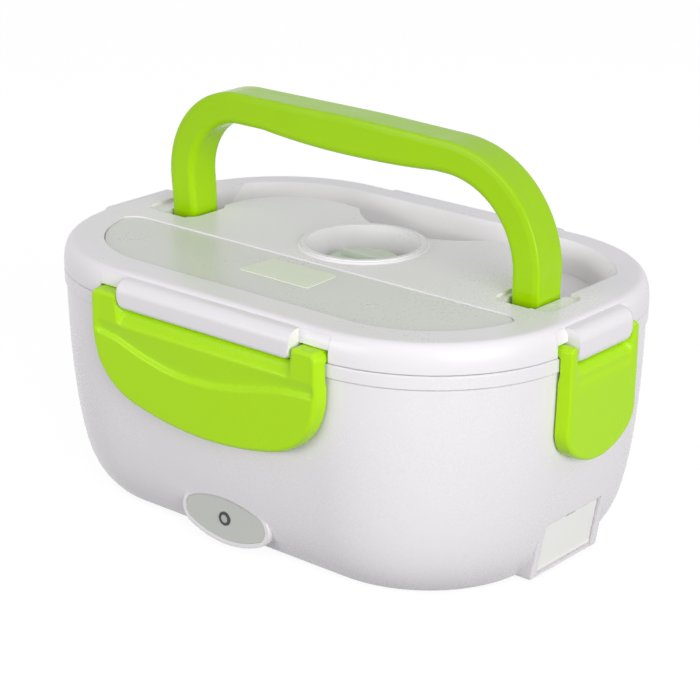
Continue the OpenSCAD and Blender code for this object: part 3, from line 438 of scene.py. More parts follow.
def new_group(name, inputs, outputs):
    tree = bpy.data.node_groups.new(name, "ShaderNodeTree")
    for label, kind, value in inputs:
        socket = tree.interface.new_socket(label, in_out="INPUT", socket_type=SOCKETS[kind])
        if value is not None:
            socket.default_value = value
    for label, kind in outputs:
        tree.interface.new_socket(label, in_out="OUTPUT", socket_type=SOCKETS[kind])
    t = Tree(tree)
    return t, t.node("NodeGroupInput").outputs, t.node("NodeGroupOutput").inputs


def build_groups():
    """Shared effects: moulded plastic, handling marks, drawn metal and the flow of a moulding."""
    t, i, o = new_group(
        "Moulded plastic",
        [("Color", "color", (0.8, 0.8, 0.8, 1)), ("Mottle", "float", 0.05),
         ("Roughness", "float", 0.3), ("Grain Scale", "float", 1400.0)],
        [("Color", "color"), ("Roughness", "float"), ("Height", "float")],
    )
    at = t.node("ShaderNodeTexCoord").outputs["Object"]
    broad = t.noise(at, 16.0, 3.0)
    fine = t.noise(at, i["Grain Scale"], 2.0)
    cloud = t.noise(at, 90.0, 2.0)
    tone = t.math("MULTIPLY", t.math("SUBTRACT", broad, 0.5), i["Mottle"])
    tone = t.math("ADD", t.math("MULTIPLY", tone, 2.0), 1.0)
    speck = t.math("ADD", t.math("MULTIPLY", t.math("SUBTRACT", cloud, 0.5), 0.015), 1.0)
    scale = t.math("MULTIPLY", tone, speck)
    grey = t.node("ShaderNodeCombineColor", {0: scale, 1: scale, 2: scale}).outputs[0]
    colour = t.mix(1.0, i["Color"], grey, "MULTIPLY")
    rough = t.math("ADD", i["Roughness"], t.span(fine, 0.3, 0.7, -0.02, 0.02))
    rough = t.math("ADD", rough, t.span(broad, 0.3, 0.7, -0.03, 0.03))
    t.tree.links.new(colour, o["Color"])
    t.tree.links.new(rough, o["Roughness"])
    t.tree.links.new(t.math("ADD", t.math("MULTIPLY", fine, 0.35), t.math("MULTIPLY", cloud, 0.65)),
                     o["Height"])

    t, i, o = new_group(
        "Handling marks",
        [("Roughness", "float", 0.3), ("Amount", "float", 0.5)],
        [("Roughness", "float"), ("Marks", "float")],
    )
    at = t.node("ShaderNodeTexCoord").outputs["Object"]
    turned = t.node("ShaderNodeMapping", {"Vector": at, "Rotation": (0.2, 0.5, 0.7),
                                          "Scale": (1.0, 6.0, 2.0)}).outputs[0]
    smudge = t.span(t.noise(at, 38.0, 4.0, 0.6), 0.55, 0.75, 0.0, 1.0)
    rub = t.span(t.noise(turned, 260.0, 2.0), 0.66, 0.8, 0.0, 1.0)
    marks = t.math("MULTIPLY", t.math("MAXIMUM", smudge, t.math("MULTIPLY", rub, 0.5)), i["Amount"])
    t.tree.links.new(t.math("ADD", i["Roughness"], t.math("MULTIPLY", marks, 0.08)), o["Roughness"])
    t.tree.links.new(marks, o["Marks"])

    t, i, o = new_group(
        "Drawn metal",
        [("Color", "color", (0.6, 0.6, 0.6, 1)), ("Roughness", "float", 0.25),
         ("Stretch", "vector", (40.0, 900.0, 900.0))],
        [("Color", "color"), ("Roughness", "float"), ("Height", "float")],
    )
    at = t.node("ShaderNodeTexCoord").outputs["Object"]
    lines = t.node("ShaderNodeVectorMath", {0: at, 1: i["Stretch"]}, operation="MULTIPLY").outputs[0]
    drawn = t.noise(lines, 1.0, 3.0, 0.6)
    cloud = t.noise(at, 30.0, 3.0)
    grey = t.span(drawn, 0.2, 0.8, 0.88, 1.06)
    grey = t.node("ShaderNodeCombineColor", {0: grey, 1: grey, 2: grey}).outputs[0]
    t.tree.links.new(t.mix(1.0, i["Color"], grey, "MULTIPLY"), o["Color"])
    rough = t.math("ADD", i["Roughness"], t.span(drawn, 0.2, 0.8, -0.05, 0.07))
    rough = t.math("ADD", rough, t.span(cloud, 0.3, 0.7, -0.03, 0.04))
    t.tree.links.new(rough, o["Roughness"])
    t.tree.links.new(drawn, o["Height"])

    t, i, o = new_group(
        "Moulding flow",
        [("Scale", "float", 60.0), ("Depth", "float", 1.0)],
        [("Height", "float")],
    )
    at = t.node("ShaderNodeTexCoord").outputs["Object"]
    long = t.node("ShaderNodeMapping", {"Vector": at, "Scale": (1.0, 2.2, 1.6)}).outputs[0]
    wave = t.noise(long, i["Scale"], 1.5, 0.4)
    t.tree.links.new(t.math("MULTIPLY", wave, i["Depth"]), o["Height"])


def principled(name, **values):
    m = bpy.data.materials.new(name)
    m.use_nodes = True
    t = Tree(m.node_tree)
    shader = m.node_tree.nodes["Principled BSDF"]
    for key, value in values.items():
        shader.inputs[key.replace("_", " ")].default_value = value
    return m, t, shader


def group_node(t, name, **values):
    n = t.node("ShaderNodeGroup", node_tree=bpy.data.node_groups[name])
    for key, value in values.items():
        n.inputs[key.replace("_", " ")].default_value = value
    return n


def plastic(name, colour, roughness=0.28, mottle=0.03, grain=1400.0, bump=0.02,
            soft=0.0, flow=0.0, flow_scale=60.0, marks=0.4, **values):
    """A moulded plastic, with its tone, gloss and skin changing slightly over the surface."""
    m, t, shader = principled(name, **values)
    body = group_node(t, "Moulded plastic", Color=colour, Mottle=mottle, Roughness=roughness,
                      Grain_Scale=grain)
    worn = group_node(t, "Handling marks", Amount=marks)
    t.tree.links.new(body.outputs["Roughness"], worn.inputs["Roughness"])
    t.tree.links.new(body.outputs["Color"], shader.inputs["Base Color"])
    t.tree.links.new(worn.outputs["Roughness"], shader.inputs["Roughness"])
    normal = None
    if soft:
        normal = t.node("ShaderNodeBevel", {"Radius": soft}, samples=6).outputs[0]
    if flow:
        wave = group_node(t, "Moulding flow", Scale=flow_scale)
        b = t.node("ShaderNodeBump", {"Height": wave.outputs["Height"], "Distance": flow,
                                      "Strength": 1.0})
        if normal:
            t.tree.links.new(normal, b.inputs["Normal"])
        normal = b.outputs[0]
    b = t.node("ShaderNodeBump", {"Height": body.outputs["Height"], "Distance": 0.0001,
                                  "Strength": bump})
    if normal:
        t.tree.links.new(normal, b.inputs["Normal"])
    t.tree.links.new(b.outputs[0], shader.inputs["Normal"])
    return m


def metal(name, colour, roughness=0.25, stretch=(40.0, 900.0, 900.0), bump=0.1):
    m, t, shader = principled(name, Metallic=1.0)
    g = group_node(t, "Drawn metal", Color=colour, Roughness=roughness, Stretch=stretch)
    t.tree.links.new(g.outputs["Color"], shader.inputs["Base Color"])
    t.tree.links.new(g.outputs["Roughness"], shader.inputs["Roughness"])
    b = t.node("ShaderNodeBump", {"Height": g.outputs["Height"], "Distance": 0.00005,
                                  "Strength": bump})
    t.tree.links.new(b.outputs[0], shader.inputs["Normal"])
    return m


FINISH = {}


def build_finishes(colours, sizes):
    soft = sizes.soft_edge
    f = FINISH
    f["body"] = plastic("White body shell", tuple(colours.body), 0.26, 0.012, bump=0.008,
                        soft=soft, flow=0.00003, flow_scale=22.0, marks=0.25, IOR=1.42)
    f["lid"] = plastic("White lid shell", tuple(colours.body), 0.3, 0.012, bump=0.008,
                       soft=soft, flow=0.00003, flow_scale=30.0, marks=0.3, IOR=1.42)
    f["green"] = plastic("Green gloss plastic", tuple(colours.latch), 0.24, 0.02, bump=0.01,
                         soft=0.0003, flow=0.00006, flow_scale=34.0, marks=0.35,
                         IOR=1.38, Specular_IOR_Level=0.3)
    f["handle"] = plastic("Green handle plastic", tuple(colours.green), 0.2, 0.03, bump=0.01,
                          flow=0.0004, flow_scale=55.0, marks=0.5,
                          IOR=1.38, Specular_IOR_Level=0.35)
    f["flap"] = plastic("Cream flap plastic", tuple(colours.flap), 0.3, 0.02, bump=0.02)
    f["inner"] = plastic("White inner plastic", srgb(236, 236, 233), 0.38, 0.02, bump=0.04,
                         soft=0.0003)
    f["well"] = plastic("Matt well plastic", srgb(232, 232, 228), 0.42, 0.025, bump=0.05)
    f["panel"] = plastic("Grey panel film", tuple(colours.panel), 0.35, 0.03, grain=2600.0,
                         bump=0.05)
    f["ring"] = plastic("Dark lens ring", srgb(52, 56, 56), 0.3, 0.05)
    f["lens"] = plastic("Grey lens", srgb(182, 188, 186), 0.12, 0.03, Coat_Weight=0.4)
    f["plate"] = plastic("Bare plate film", tuple(colours.plate), 0.4, 0.02, grain=3000.0,
                         bump=0.03)
    f["vent"] = plastic("Pale silicone", srgb(220, 230, 216), 0.5, 0.03, bump=0.06,
                        Subsurface_Weight=0.2, Subsurface_Scale=0.002)
    f["seal"] = plastic("Seal silicone", srgb(214, 220, 218), 0.55, 0.03, bump=0.08)
    f["rubber"] = plastic("Grey rubber", srgb(96, 98, 96), 0.65, 0.06, grain=1800.0, bump=0.2)
    f["black"] = plastic("Black socket plastic", srgb(34, 34, 36), 0.4, 0.08, bump=0.08)
    f["dark"] = plastic("Dark switch housing", srgb(58, 58, 62), 0.45, 0.08, bump=0.08)
    f["mica"] = plastic("Mica sheet", srgb(176, 142, 84), 0.5, 0.2, grain=600.0, bump=0.2)
    f["board"] = plastic("Board laminate", srgb(40, 104, 60), 0.45, 0.08, bump=0.1)
    f["red"] = plastic("Red wire sleeve", srgb(196, 56, 44), 0.45, 0.05, bump=0.05)
    f["dish"] = plastic("Side dish plastic", srgb(228, 238, 216), 0.35, 0.02, bump=0.03,
                        Subsurface_Weight=0.15, Subsurface_Scale=0.003)
    f["spoon grip"] = plastic("Green spoon grip", srgb(160, 214, 52), 0.3, 0.03, bump=0.03)
    f["steel"] = metal("Drawn steel", (0.72, 0.73, 0.74, 1), 0.22)
    f["plate metal"] = metal("Rolled aluminium", (0.8, 0.81, 0.82, 1), 0.32,
                             (900.0, 60.0, 900.0), 0.2)
    f["screw"] = metal("Zinc screw", (0.6, 0.61, 0.62, 1), 0.35, (400.0, 400.0, 60.0))
    f["contact"] = metal("Nickel contact", (0.74, 0.72, 0.66, 1), 0.2, (60.0, 900.0, 900.0))

    m, t, shader = principled("Frosted window", IOR=1.45, Alpha=0.85)
    g = group_node(t, "Moulded plastic", Color=tuple(colours.window), Mottle=0.02,
                   Roughness=0.3, Grain_Scale=900.0)
    t.tree.links.new(g.outputs["Color"], shader.inputs["Base Color"])
    t.tree.links.new(g.outputs["Roughness"], shader.inputs["Roughness"])
    b = t.node("ShaderNodeBump", {"Height": g.outputs["Height"], "Distance": 0.0001,
                                  "Strength": 0.05})
    t.tree.links.new(b.outputs[0], shader.inputs["Normal"])
    f["window"] = m

    m, t, shader = principled("Spoon with a coloured grip")
    g = group_node(t, "Drawn metal", Color=(0.72, 0.73, 0.74, 1), Roughness=0.22)
    at = t.node("ShaderNodeTexCoord").outputs["Object"]
    along = t.node("ShaderNodeSeparateXYZ", {0: at}).outputs["X"]
    grip = t.math("GREATER_THAN", along, GRIP_X)
    t.tree.links.new(t.mix(grip, g.outputs["Color"], srgb(160, 214, 52)),
                     shader.inputs["Base Color"])
    t.tree.links.new(t.math("SUBTRACT", 1.0, grip), shader.inputs["Metallic"])
    t.tree.links.new(t.math("ADD", g.outputs["Roughness"], t.math("MULTIPLY", grip, 0.1)),
                     shader.inputs["Roughness"])
    f["spoon"] = m


def dress_node(node, finish):
    """Gives a CAD node that stays its finish."""
    mesh = frame["nodes"][node].data
    if not mesh.materials:
        mesh.materials.append(None)
    for k in range(len(mesh.materials)):
        mesh.materials[k] = FINISH[finish]


def stand_in(obj, body, *nodes):
    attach(obj, body)
    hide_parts(*nodes)


def body_of(node):
    return frame["nodes"][node]["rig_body"]


# ---- Pieces ----


def half_outline(w, low, r, c, ear, top_z, ear_r, ear_in):
    """Right half of a latch's front outline with its ear, counterclockwise from its lowest point.
    ear_r and ear_in round the ear's outer and inner top corner."""
    foot = 3.0
    zc = low + r
    xk = w - c
    zk = zc - math.sqrt((r - c) ** 2 - xk * xk)
    a = math.degrees(math.atan2(zk - zc, xk))
    loop = arc(0, zc, r, 270, 360 + a, 26)
    loop += arc(xk, zk, c, a, 0, 14)[1:]
    loop += [(w, zk + (EAR_TOP - ear_r - zk) * k / 30) for k in range(1, 31)]
    loop += arc(w - ear_r, EAR_TOP - ear_r, ear_r, 0, 90, 8)[1:]
    loop += [(w - ear_r + (ear + ear_in - w + ear_r) * k / 6, EAR_TOP) for k in range(1, 7)]
    loop += arc(ear + ear_in, EAR_TOP - ear_in, ear_in, 90, 180, 6)[1:]
    side = EAR_TOP - ear_in - top_z - foot
    loop += [(ear, EAR_TOP - ear_in - side * k / 3) for k in range(1, 4)]
    loop += arc(ear - foot, top_z + foot, foot, 0, -90, 6)[1:]
    steps = max(4, int((ear - foot) / 1.5))
    loop += [((ear - foot) * (1 - k / steps), top_z) for k in range(1, steps + 1)]
    return loop


# Lip across the front latch: points along its crease, from its left to its right
LIP = ((-58, 78.2), (-46, 78), (-35.5, 74.3), (-25, 71.6), (-14.4, 69.8), (-2, 69.6),
       (9.7, 70.8), (22, 73.2), (34, 76.2), (44, 77.8), (58, 78.2))


def lip_height(u):
    u = min(57.9, max(-57.9, u))
    for (a, za), (b, zb) in zip(LIP, LIP[1:]):
        if u <= b:
            return za + (zb - za) * (u - a) / (b - a)
    return LIP[-1][1]


def make_latch(name, place, sizes, ends, half, low, r, c, bar, top_z, ear_r, ear_in, share,
               scoop_z, scoop_in, lip):
    """One latch of a kind. ends are its half widths on its left and right."""
    lean = 0.8
    out = half + PROUD - BARREL_R
    edge, wall = sizes.latch_edge / MM * share, sizes.latch_wall / MM * share

    def front(u, v):
        d = half + PROUD - lean * min(1.0, max(0.0, (76 - v) / 36))
        if lip:
            crease = sum(lip_height(u + k) for k in (-5, -2.5, 0, 2.5, 5)) / 5
            inside = smooth_step((max(ends) - 2.0 - abs(u)) / 4.0)
            s = smooth_step((v - crease + 0.7) / 1.4)
            back = 1 - 0.85 * min(1.0, max(0.0, (v - crease) / max(3.0, scoop_z - crease)))
            d -= lip * s * back * inside
        under_bar = smooth_step((bar + 1.2 - abs(u)) / 2.4)
        s = min(1.0, max(0.0, (v - scoop_z) / (top_z - scoop_z)))
        d -= scoop_in * (1 - (1 - s) ** 1.6) * under_bar
        if not lip:
            d -= 0.4 * smooth_step((v - 79) / 1.5) * under_bar
        return d

    def rim(u, v):
        if v > SEAM_Z + 0.6 and bar - 3 < abs(u) < min(ends) + 0.2:
            return out - min(3.4, math.sqrt(max(0.0, BARREL_R ** 2 - (HINGE_Z - v) ** 2)))
        if v > BAND_Z:
            return half + LATCH_GAP
        return half + LATCH_GAP - smooth_step((BAND_Z - v) / 4) * (wall_inset(v) - 0.1)

    def draft(u, v):
        w = ends[0] if u < 0 else ends[1]
        side = smooth_step((abs(u) - w + 3) / 2) * smooth_step((v - 55) / 15)
        return (0.3 + 0.6 * side) * share

    loops = [half_outline(w, low, r, c, bar + LATCH_GAP, top_z, ear_r, ear_in) for w in ends]
    loop = loops[1] + [(-x, z) for x, z in loops[0][1:-1][::-1]]
    verts, faces = moulded_plate(loop, front, rim, wall, edge, place, step=0.8, draft=draft)
    return make_object(name, verts, faces, [FINISH["green"]], sharp=50)


class LUNCHBOX_OT_latches(bpy.types.Operator):
    """Builds the four latches with their lips, scooped strips and ears"""

    bl_idname = "lunchbox.latches"
    bl_label = "Latches"

    def execute(self, context):
        sizes = context.scene.lunchbox_sizes
        for side, (kind, ends) in LATCHES.items():
            node = "latch_" + side
            obj = make_latch(node + "_cap", PLACES[side], sizes, ends, **kind)
            stand_in(obj, body_of(node), node)
        return {"FINISHED"}


def hinge_bar(name, out, half, low, rc, place):
    """A hinge bar over a latch, ridged above and flat in front, with its lower ends rounded."""
    front, end_r = 4.56, 2.8
    stops = [end_r * (1 - math.cos(math.radians(a))) for a in range(0, 91, 15)]
    us = [-half + e for e in stops] + [-half / 3, 0, half / 3] + [half - e for e in stops[::-1]]
    verts = []
    for u in us:
        e = max(0.0, end_r - (half - abs(u)))
        down = low - end_r + math.sqrt(end_r ** 2 - e * e)
        ring = [(-2.0, 4.3)] + arc(0, 0, 4.58, 100, 0, 14)
        ring += [(front, -0.4)] + arc(front - rc, rc - down, rc, 0, -90, 6)
        ring += [(0.25, -down), (0.25, -min(4.2, down - 0.3)), (-2.0, -3.9)]
        verts += [place(u, HINGE_Z + z, out + w) for w, z in ring]
    return make_object(name, verts, tube(len(us), len(ring)), [FINISH["lid"]], sharp=40)


def lid_side(u, z, centre, flat):
    """How far out the lid's rounded side lies at height z, u along the side."""
    s = min(1.0, (z - SEAM_Z - 0.4) / 10.6) ** (1 / 0.75)
    inset = 5.2 * (1 - (1 - s * s) ** 0.375)
    return centre + math.sqrt((CORNER_R - inset) ** 2 - max(0.0, abs(u) - flat) ** 2)


class LUNCHBOX_OT_hinges(bpy.types.Operator):
    """Builds the hinge bars over the latches and the lid's shoulders above their ears"""

    bl_idname = "lunchbox.hinges"
    bl_label = "Hinge bars"

    def execute(self, context):
        cx, cy = HALF_L - CORNER_R, HALF_W - CORNER_R
        long = (HALF_W + AXIS_OUT, 42.5, 6.1, 1.9, cy, cx, SIDE_BAR, SIDE_NOTCH)
        short = (HALF_L + AXIS_OUT, 16.6, 7.7, 3.0, cx, cy, END_BAR, END_NOTCH)
        verts, faces = [], []
        for side, place in PLACES.items():
            sizes = long if side in ("front", "back") else short
            out, half, low, rc, centre, flat, u0, u1 = sizes
            bar = hinge_bar("hinge_bar_" + side, out, half, low, rc, place)
            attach(bar, body_of("lid_shell"))
            for sign in (-1, 1):
                base = len(verts)
                for k in range(9):
                    u = sign * (u0 + (u1 - u0) * k / 8)
                    ring = []
                    for m in range(9):
                        z = SHOULDER_Z + SHOULDER_H * m / 8
                        w = min(lid_side(u, z, centre, flat) - 0.02, out - 0.9)
                        ring.append((w, z))
                    ring += [(w - SHOULDER_T, z) for w, z in ring[::-1]]
                    verts += [place(u, z, w) for w, z in ring]
                faces += tube(9, len(ring), base)
        obj = make_object("lid_shoulders", verts, faces, [FINISH["lid"]], sharp=40)
        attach(obj, body_of("lid_shell"))
        return {"FINISHED"}


def handle_station(kind, t, r_out, flare, drop):
    """Outer and inner point of the handle's outline in X and Z, at a station of one half.
    Above the lid the leg moves out by flare, and the grip's end lies lower by drop."""
    half, leg = HANDLE_HALF, HANDLE_LEG
    r_in = r_out - leg
    cx, cz = half - r_out, PIVOT_Z + HANDLE_RISE - r_out
    if kind == "leg":
        z = PIVOT_Z - HANDLE_FOOT + (cz - PIVOT_Z + HANDLE_FOOT) * t
        outer, inner = (half, z), (half - leg, z)
    elif kind == "bend":
        a = math.radians(90 * t)
        outer = (cx + r_out * math.cos(a), cz + r_out * math.sin(a))
        inner = (cx + r_in * math.cos(a), cz + r_in * math.sin(a))
    else:
        x = cx * (1 - t)
        swell = SWELL * (1 - (min(1.0, x / SWELL_X)) ** 2)
        outer, inner = (x, cz + r_out), (x, cz + r_in - swell)
    points = []
    for x, z in (outer, inner):
        out = flare * smooth_step((z - LID_TOP) / 16) * smooth_step(x / 60)
        points.append((x + out, z - drop * smooth_step(x / 60) * smooth_step((z - LID_TOP) / 16)))
    return points


def handle_section(outer, inner, ahead, behind, edge):
    """One closed ring of the handle: crisp outer edges, softer inner ones and, along the front
    face's outer edge, a strip that leans back."""
    ox, oz = outer
    ix, iz = inner
    t = math.dist(outer, inner)
    nx, nz = (ox - ix) / t, (oz - iz) / t
    soft = min(2.8, ahead * 0.8, t * 0.4)
    crisp = min(edge, ahead * 0.8)
    tilt = min(0.35, ahead * 0.05)
    corners = (
        (1, 1, 0, crisp, ahead - tilt), (-1, 1, 90, soft, ahead),
        (-1, -1, 180, soft, behind), (1, -1, 270, crisp, behind),
    )
    arcs = []
    for sx, sy, a0, e, reach in corners:
        arcs.append(arc(sx * (t / 2 - e), sy * (reach - e), e, a0, a0 + 90, 6))
    ring = []
    for k, points in enumerate(arcs):
        ring += points
        a, b = points[-1], arcs[(k + 1) % 4][0]
        if k == 0:
            ring += [(t / 2 - 2.5, ahead - tilt * 0.08), (t / 2 - 2.8, ahead)]
            a = ring[-1]
        ring += [(a[0] + (b[0] - a[0]) * f, a[1] + (b[1] - a[1]) * f) for f in (0.06, 0.5, 0.94)]
    return [
        ((ox + ix) / 2 + nx * p, PIVOT_Y - q, (oz + iz) / 2 + nz * p)
        for p, q in ring
    ]


class LUNCHBOX_OT_handle(bpy.types.Operator):
    """Builds the carrying handle as one sweep with rounded edges and a swollen grip"""

    bl_idname = "lunchbox.handle"
    bl_label = "Handle"

    def execute(self, context):
        edge = context.scene.lunchbox_sizes.handle_edge / MM
        stations = [("leg", k / 24) for k in range(24)]
        stations += [("bend", k / 26) for k in range(26)]
        stations += [("grip", k / 20) for k in range(21)]
        halves = []
        for r_out, flare, drop in HANDLE_HALVES:
            rings = []
            for kind, t in stations:
                outer, inner = handle_station(kind, t, r_out, flare, drop)
                ahead = behind = HANDLE_HALF_D
                if outer[1] < PIVOT_Z:
                    h = (PIVOT_Z - outer[1]) / HANDLE_HALF_D
                    ahead = behind = HANDLE_HALF_D * math.sqrt(max(0.012, 1 - h * h))
                else:
                    behind += HANDLE_BACK * smooth_step((outer[1] - LID_TOP - 2) / 10)
                rings.append(handle_section(outer, inner, ahead, behind, edge))
            halves.append(rings)
        rings = halves[0] + [[(-x, y, z) for x, y, z in ring] for ring in halves[1][:-1]][::-1]
        verts = [p for ring in rings for p in ring]
        faces = tube(len(rings), len(rings[0]))
        obj = make_object("carry_handle", verts, faces, [FINISH["handle"]], sharp=55)
        stand_in(obj, body_of("handle"), "handle")
        return {"FINISHED"}


class LUNCHBOX_OT_shells(bpy.types.Operator):
    """Dresses the base, the lid and the pieces inside them"""

    bl_idname = "lunchbox.shells"
    bl_label = "Shells"

    def execute(self, context):
        copies = (
            ("outer_shell", "base_shell", "body", 32),
            ("lid_shell", "lid_cap", "lid", 32),
            ("bottom_cover", "floor_cover", "inner", 30),
            ("lid_liner", "lid_inner", "inner", 30),
            ("inner_well", "heating_well", "well", 30),
            ("food_tray", "steel_tray", "steel", 30),
            ("side_dish", "dish_body", "dish", 30),
            ("dish_lid", "dish_cap", "spoon grip", 30),
            ("lid_seal", "seal_ring", "seal", 30),
        )
        for node, name, finish, angle in copies:
            stand_in(merged_copy(node, name, FINISH[finish], angle), body_of(node), node)
        kept = {
            "heating_plate": "plate metal", "heater": "mica", "thermal_cutout": "dark",
            "wires": "red", "inlet_socket": "black", "inlet_pins": "contact",
            "lamp_panel": "panel", "lamp_lens": "lens", "lamp_board": "board",
            "vent_seat": "vent", "vent_plug": "vent", "spoon": "spoon",
            "handle_pins": "screw", "spoon_cover": "window",
            "cover_screws": "screw", "inlet_flap": "flap",
        }
        for node, finish in kept.items():
            dress_node(node, finish)
        return {"FINISHED"}


class LUNCHBOX_OT_trim(bpy.types.Operator):
    """Builds the bare plate on the window and the ring round the lens"""

    bl_idname = "lunchbox.trim"
    bl_label = "Trim"

    def execute(self, context):
        t = context.scene.lunchbox_sizes.plate_t / MM
        z0 = 100.4
        corners = [(-17.4, -44.6), (17.8, -45.0), (16.4, -26.4), (-15.6, -26.6)]
        loop = []
        for k in range(4):
            p, a, b = corners[k], corners[k - 1], corners[(k + 1) % 4]
            va = (Vector(a) - Vector(p)).normalized() * 1.6
            vb = (Vector(b) - Vector(p)).normalized() * 1.6
            for j in range(6):
                s = j / 5
                q = Vector(p) + va * (1 - s) ** 2 + vb * s ** 2
                loop.append((q.x, q.y))
        loop = resample(loop, 2.0)
        verts, faces = moulded_plate(loop, lambda u, v: z0 + t, lambda u, v: z0 + 0.01, t, 0.08,
                                     lambda u, v, w: (u, v, w), step=4, hollow=False)
        obj = make_object("cover_plate", verts, faces, [FINISH["plate"]], sharp=50)
        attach(obj, body_of("spoon_cover"))
        section = [(2.75, -0.6), (2.75, 0), (2.6, 0.15), (1.75, 0.15), (1.6, 0.1), (1.6, 0.01),
                   (2.25, 0.01), (2.25, -0.6)]
        low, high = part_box("lamp_lens")
        middle = [(a + b) / 2 / MM for a, b in zip(low, high)]
        ring = lathe("lens_ring", section, (middle[0], low[1] / MM, middle[2]), "y",
                     FINISH["ring"])
        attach(ring, body_of("lamp_lens"))
        return {"FINISHED"}


def lathe(name, section, centre, axis, material, n=48):
    """A turned piece: section gives the radius and the height along the axis, closed."""
    cx, cy, cz = centre
    verts, faces = [], []
    for k in range(n):
        a = 2 * math.pi * k / n
        for r, h in section:
            p, q = r * math.cos(a), r * math.sin(a)
            verts.append((cx + p, cy + q, cz + h) if axis == "z" else (cx + p, cy - h, cz + q))
    m = len(section)
    for k in range(n):
        a, b = k * m, (k + 1) % n * m
        for i in range(m):
            j = (i + 1) % m
            faces.append((a + i, a + j, b + j, b + i))
    return make_object(name, verts, faces, [material], sharp=40)


def corner_set():
    """Geometry Nodes: one modelled piece at the four corners of a rectangle."""
    tree = bpy.data.node_groups.new("Corner set", "GeometryNodeTree")
    face = tree.interface
    face.new_socket("Geometry", in_out="INPUT", socket_type="NodeSocketGeometry")
    keys = {}
    for label, kind in (("Spacing X", "NodeSocketFloat"), ("Spacing Y", "NodeSocketFloat"),
                        ("Material", "NodeSocketMaterial")):
        keys[label] = face.new_socket(label, in_out="INPUT", socket_type=kind).identifier
    face.new_socket("Geometry", in_out="OUTPUT", socket_type="NodeSocketGeometry")
    t = Tree(tree)
    given = t.node("NodeGroupInput").outputs
    grid = t.node("GeometryNodeMeshGrid", {
        "Size X": given["Spacing X"], "Size Y": given["Spacing Y"],
        "Vertices X": 2, "Vertices Y": 2}).outputs["Mesh"]
    placed = t.node("GeometryNodeInstanceOnPoints",
                    {"Points": grid, "Instance": given["Geometry"]}).outputs["Instances"]
    real = t.node("GeometryNodeRealizeInstances", {"Geometry": placed}).outputs["Geometry"]
    done = t.node("GeometryNodeSetMaterial",
                  {"Geometry": real, "Material": given["Material"]}).outputs["Geometry"]
    tree.links.new(done, t.node("NodeGroupOutput").inputs["Geometry"])
    return tree, keys


def run_nodes(obj, tree, values):
    """Turns an object into the plain mesh that the tree makes of it."""
    mod = obj.modifiers.new("Set", "NODES")
    mod.node_group = tree
    for key, value in values.items():
        mod[key] = value
    graph = bpy.context.evaluated_depsgraph_get()
    mesh = bpy.data.meshes.new_from_object(obj.evaluated_get(graph))
    obj.modifiers.remove(mod)
    obj.data = mesh


class LUNCHBOX_OT_feet(bpy.types.Operator):
    """Builds the four rubber feet, each with a rounded edge and a shallow hollow"""

    bl_idname = "lunchbox.feet"
    bl_label = "Feet"

    def execute(self, context):
        low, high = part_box("feet")
        r, h = 6.0, (high[2] - low[2]) / MM
        section = [(0, h), (r, h), (r, 0.8), (r - 0.25, 0.3), (r - 0.8, 0), (3.4, 0),
                   (3.1, 0.35), (0, 0.45)]
        obj = lathe("rubber_feet", section, (0, 0, 0), "z", FINISH["rubber"], 36)
        tree, keys = corner_set()
        run_nodes(obj, tree, {
            keys["Spacing X"]: high[0] - low[0] - 2 * r * MM,
            keys["Spacing Y"]: high[1] - low[1] - 2 * r * MM,
            keys["Material"]: FINISH["rubber"],
        })
        stand_in(obj, body_of("feet"), "feet")
        return {"FINISHED"}


# ---- Stage ----


def area_lamp(name, energy, size, position, target):
    data = bpy.data.lights.new(name, "AREA")
    data.energy, data.shape = energy, "RECTANGLE"
    data.size, data.size_y = size
    obj = bpy.data.objects.new(name, data)
    bpy.context.scene.collection.objects.link(obj)
    obj.location = position
    obj.rotation_euler = (Vector(target) - Vector(position)).to_track_quat("-Z", "Y").to_euler()
    return obj


def seen_rays(t):
    """One for a ray that shows what it meets: directly, through a clear piece or mirrored."""
    path = t.node("ShaderNodeLightPath").outputs
    return t.math("MAXIMUM", path["Is Camera Ray"],
                  t.math("MAXIMUM", path["Is Transmission Ray"], path["Is Glossy Ray"]))


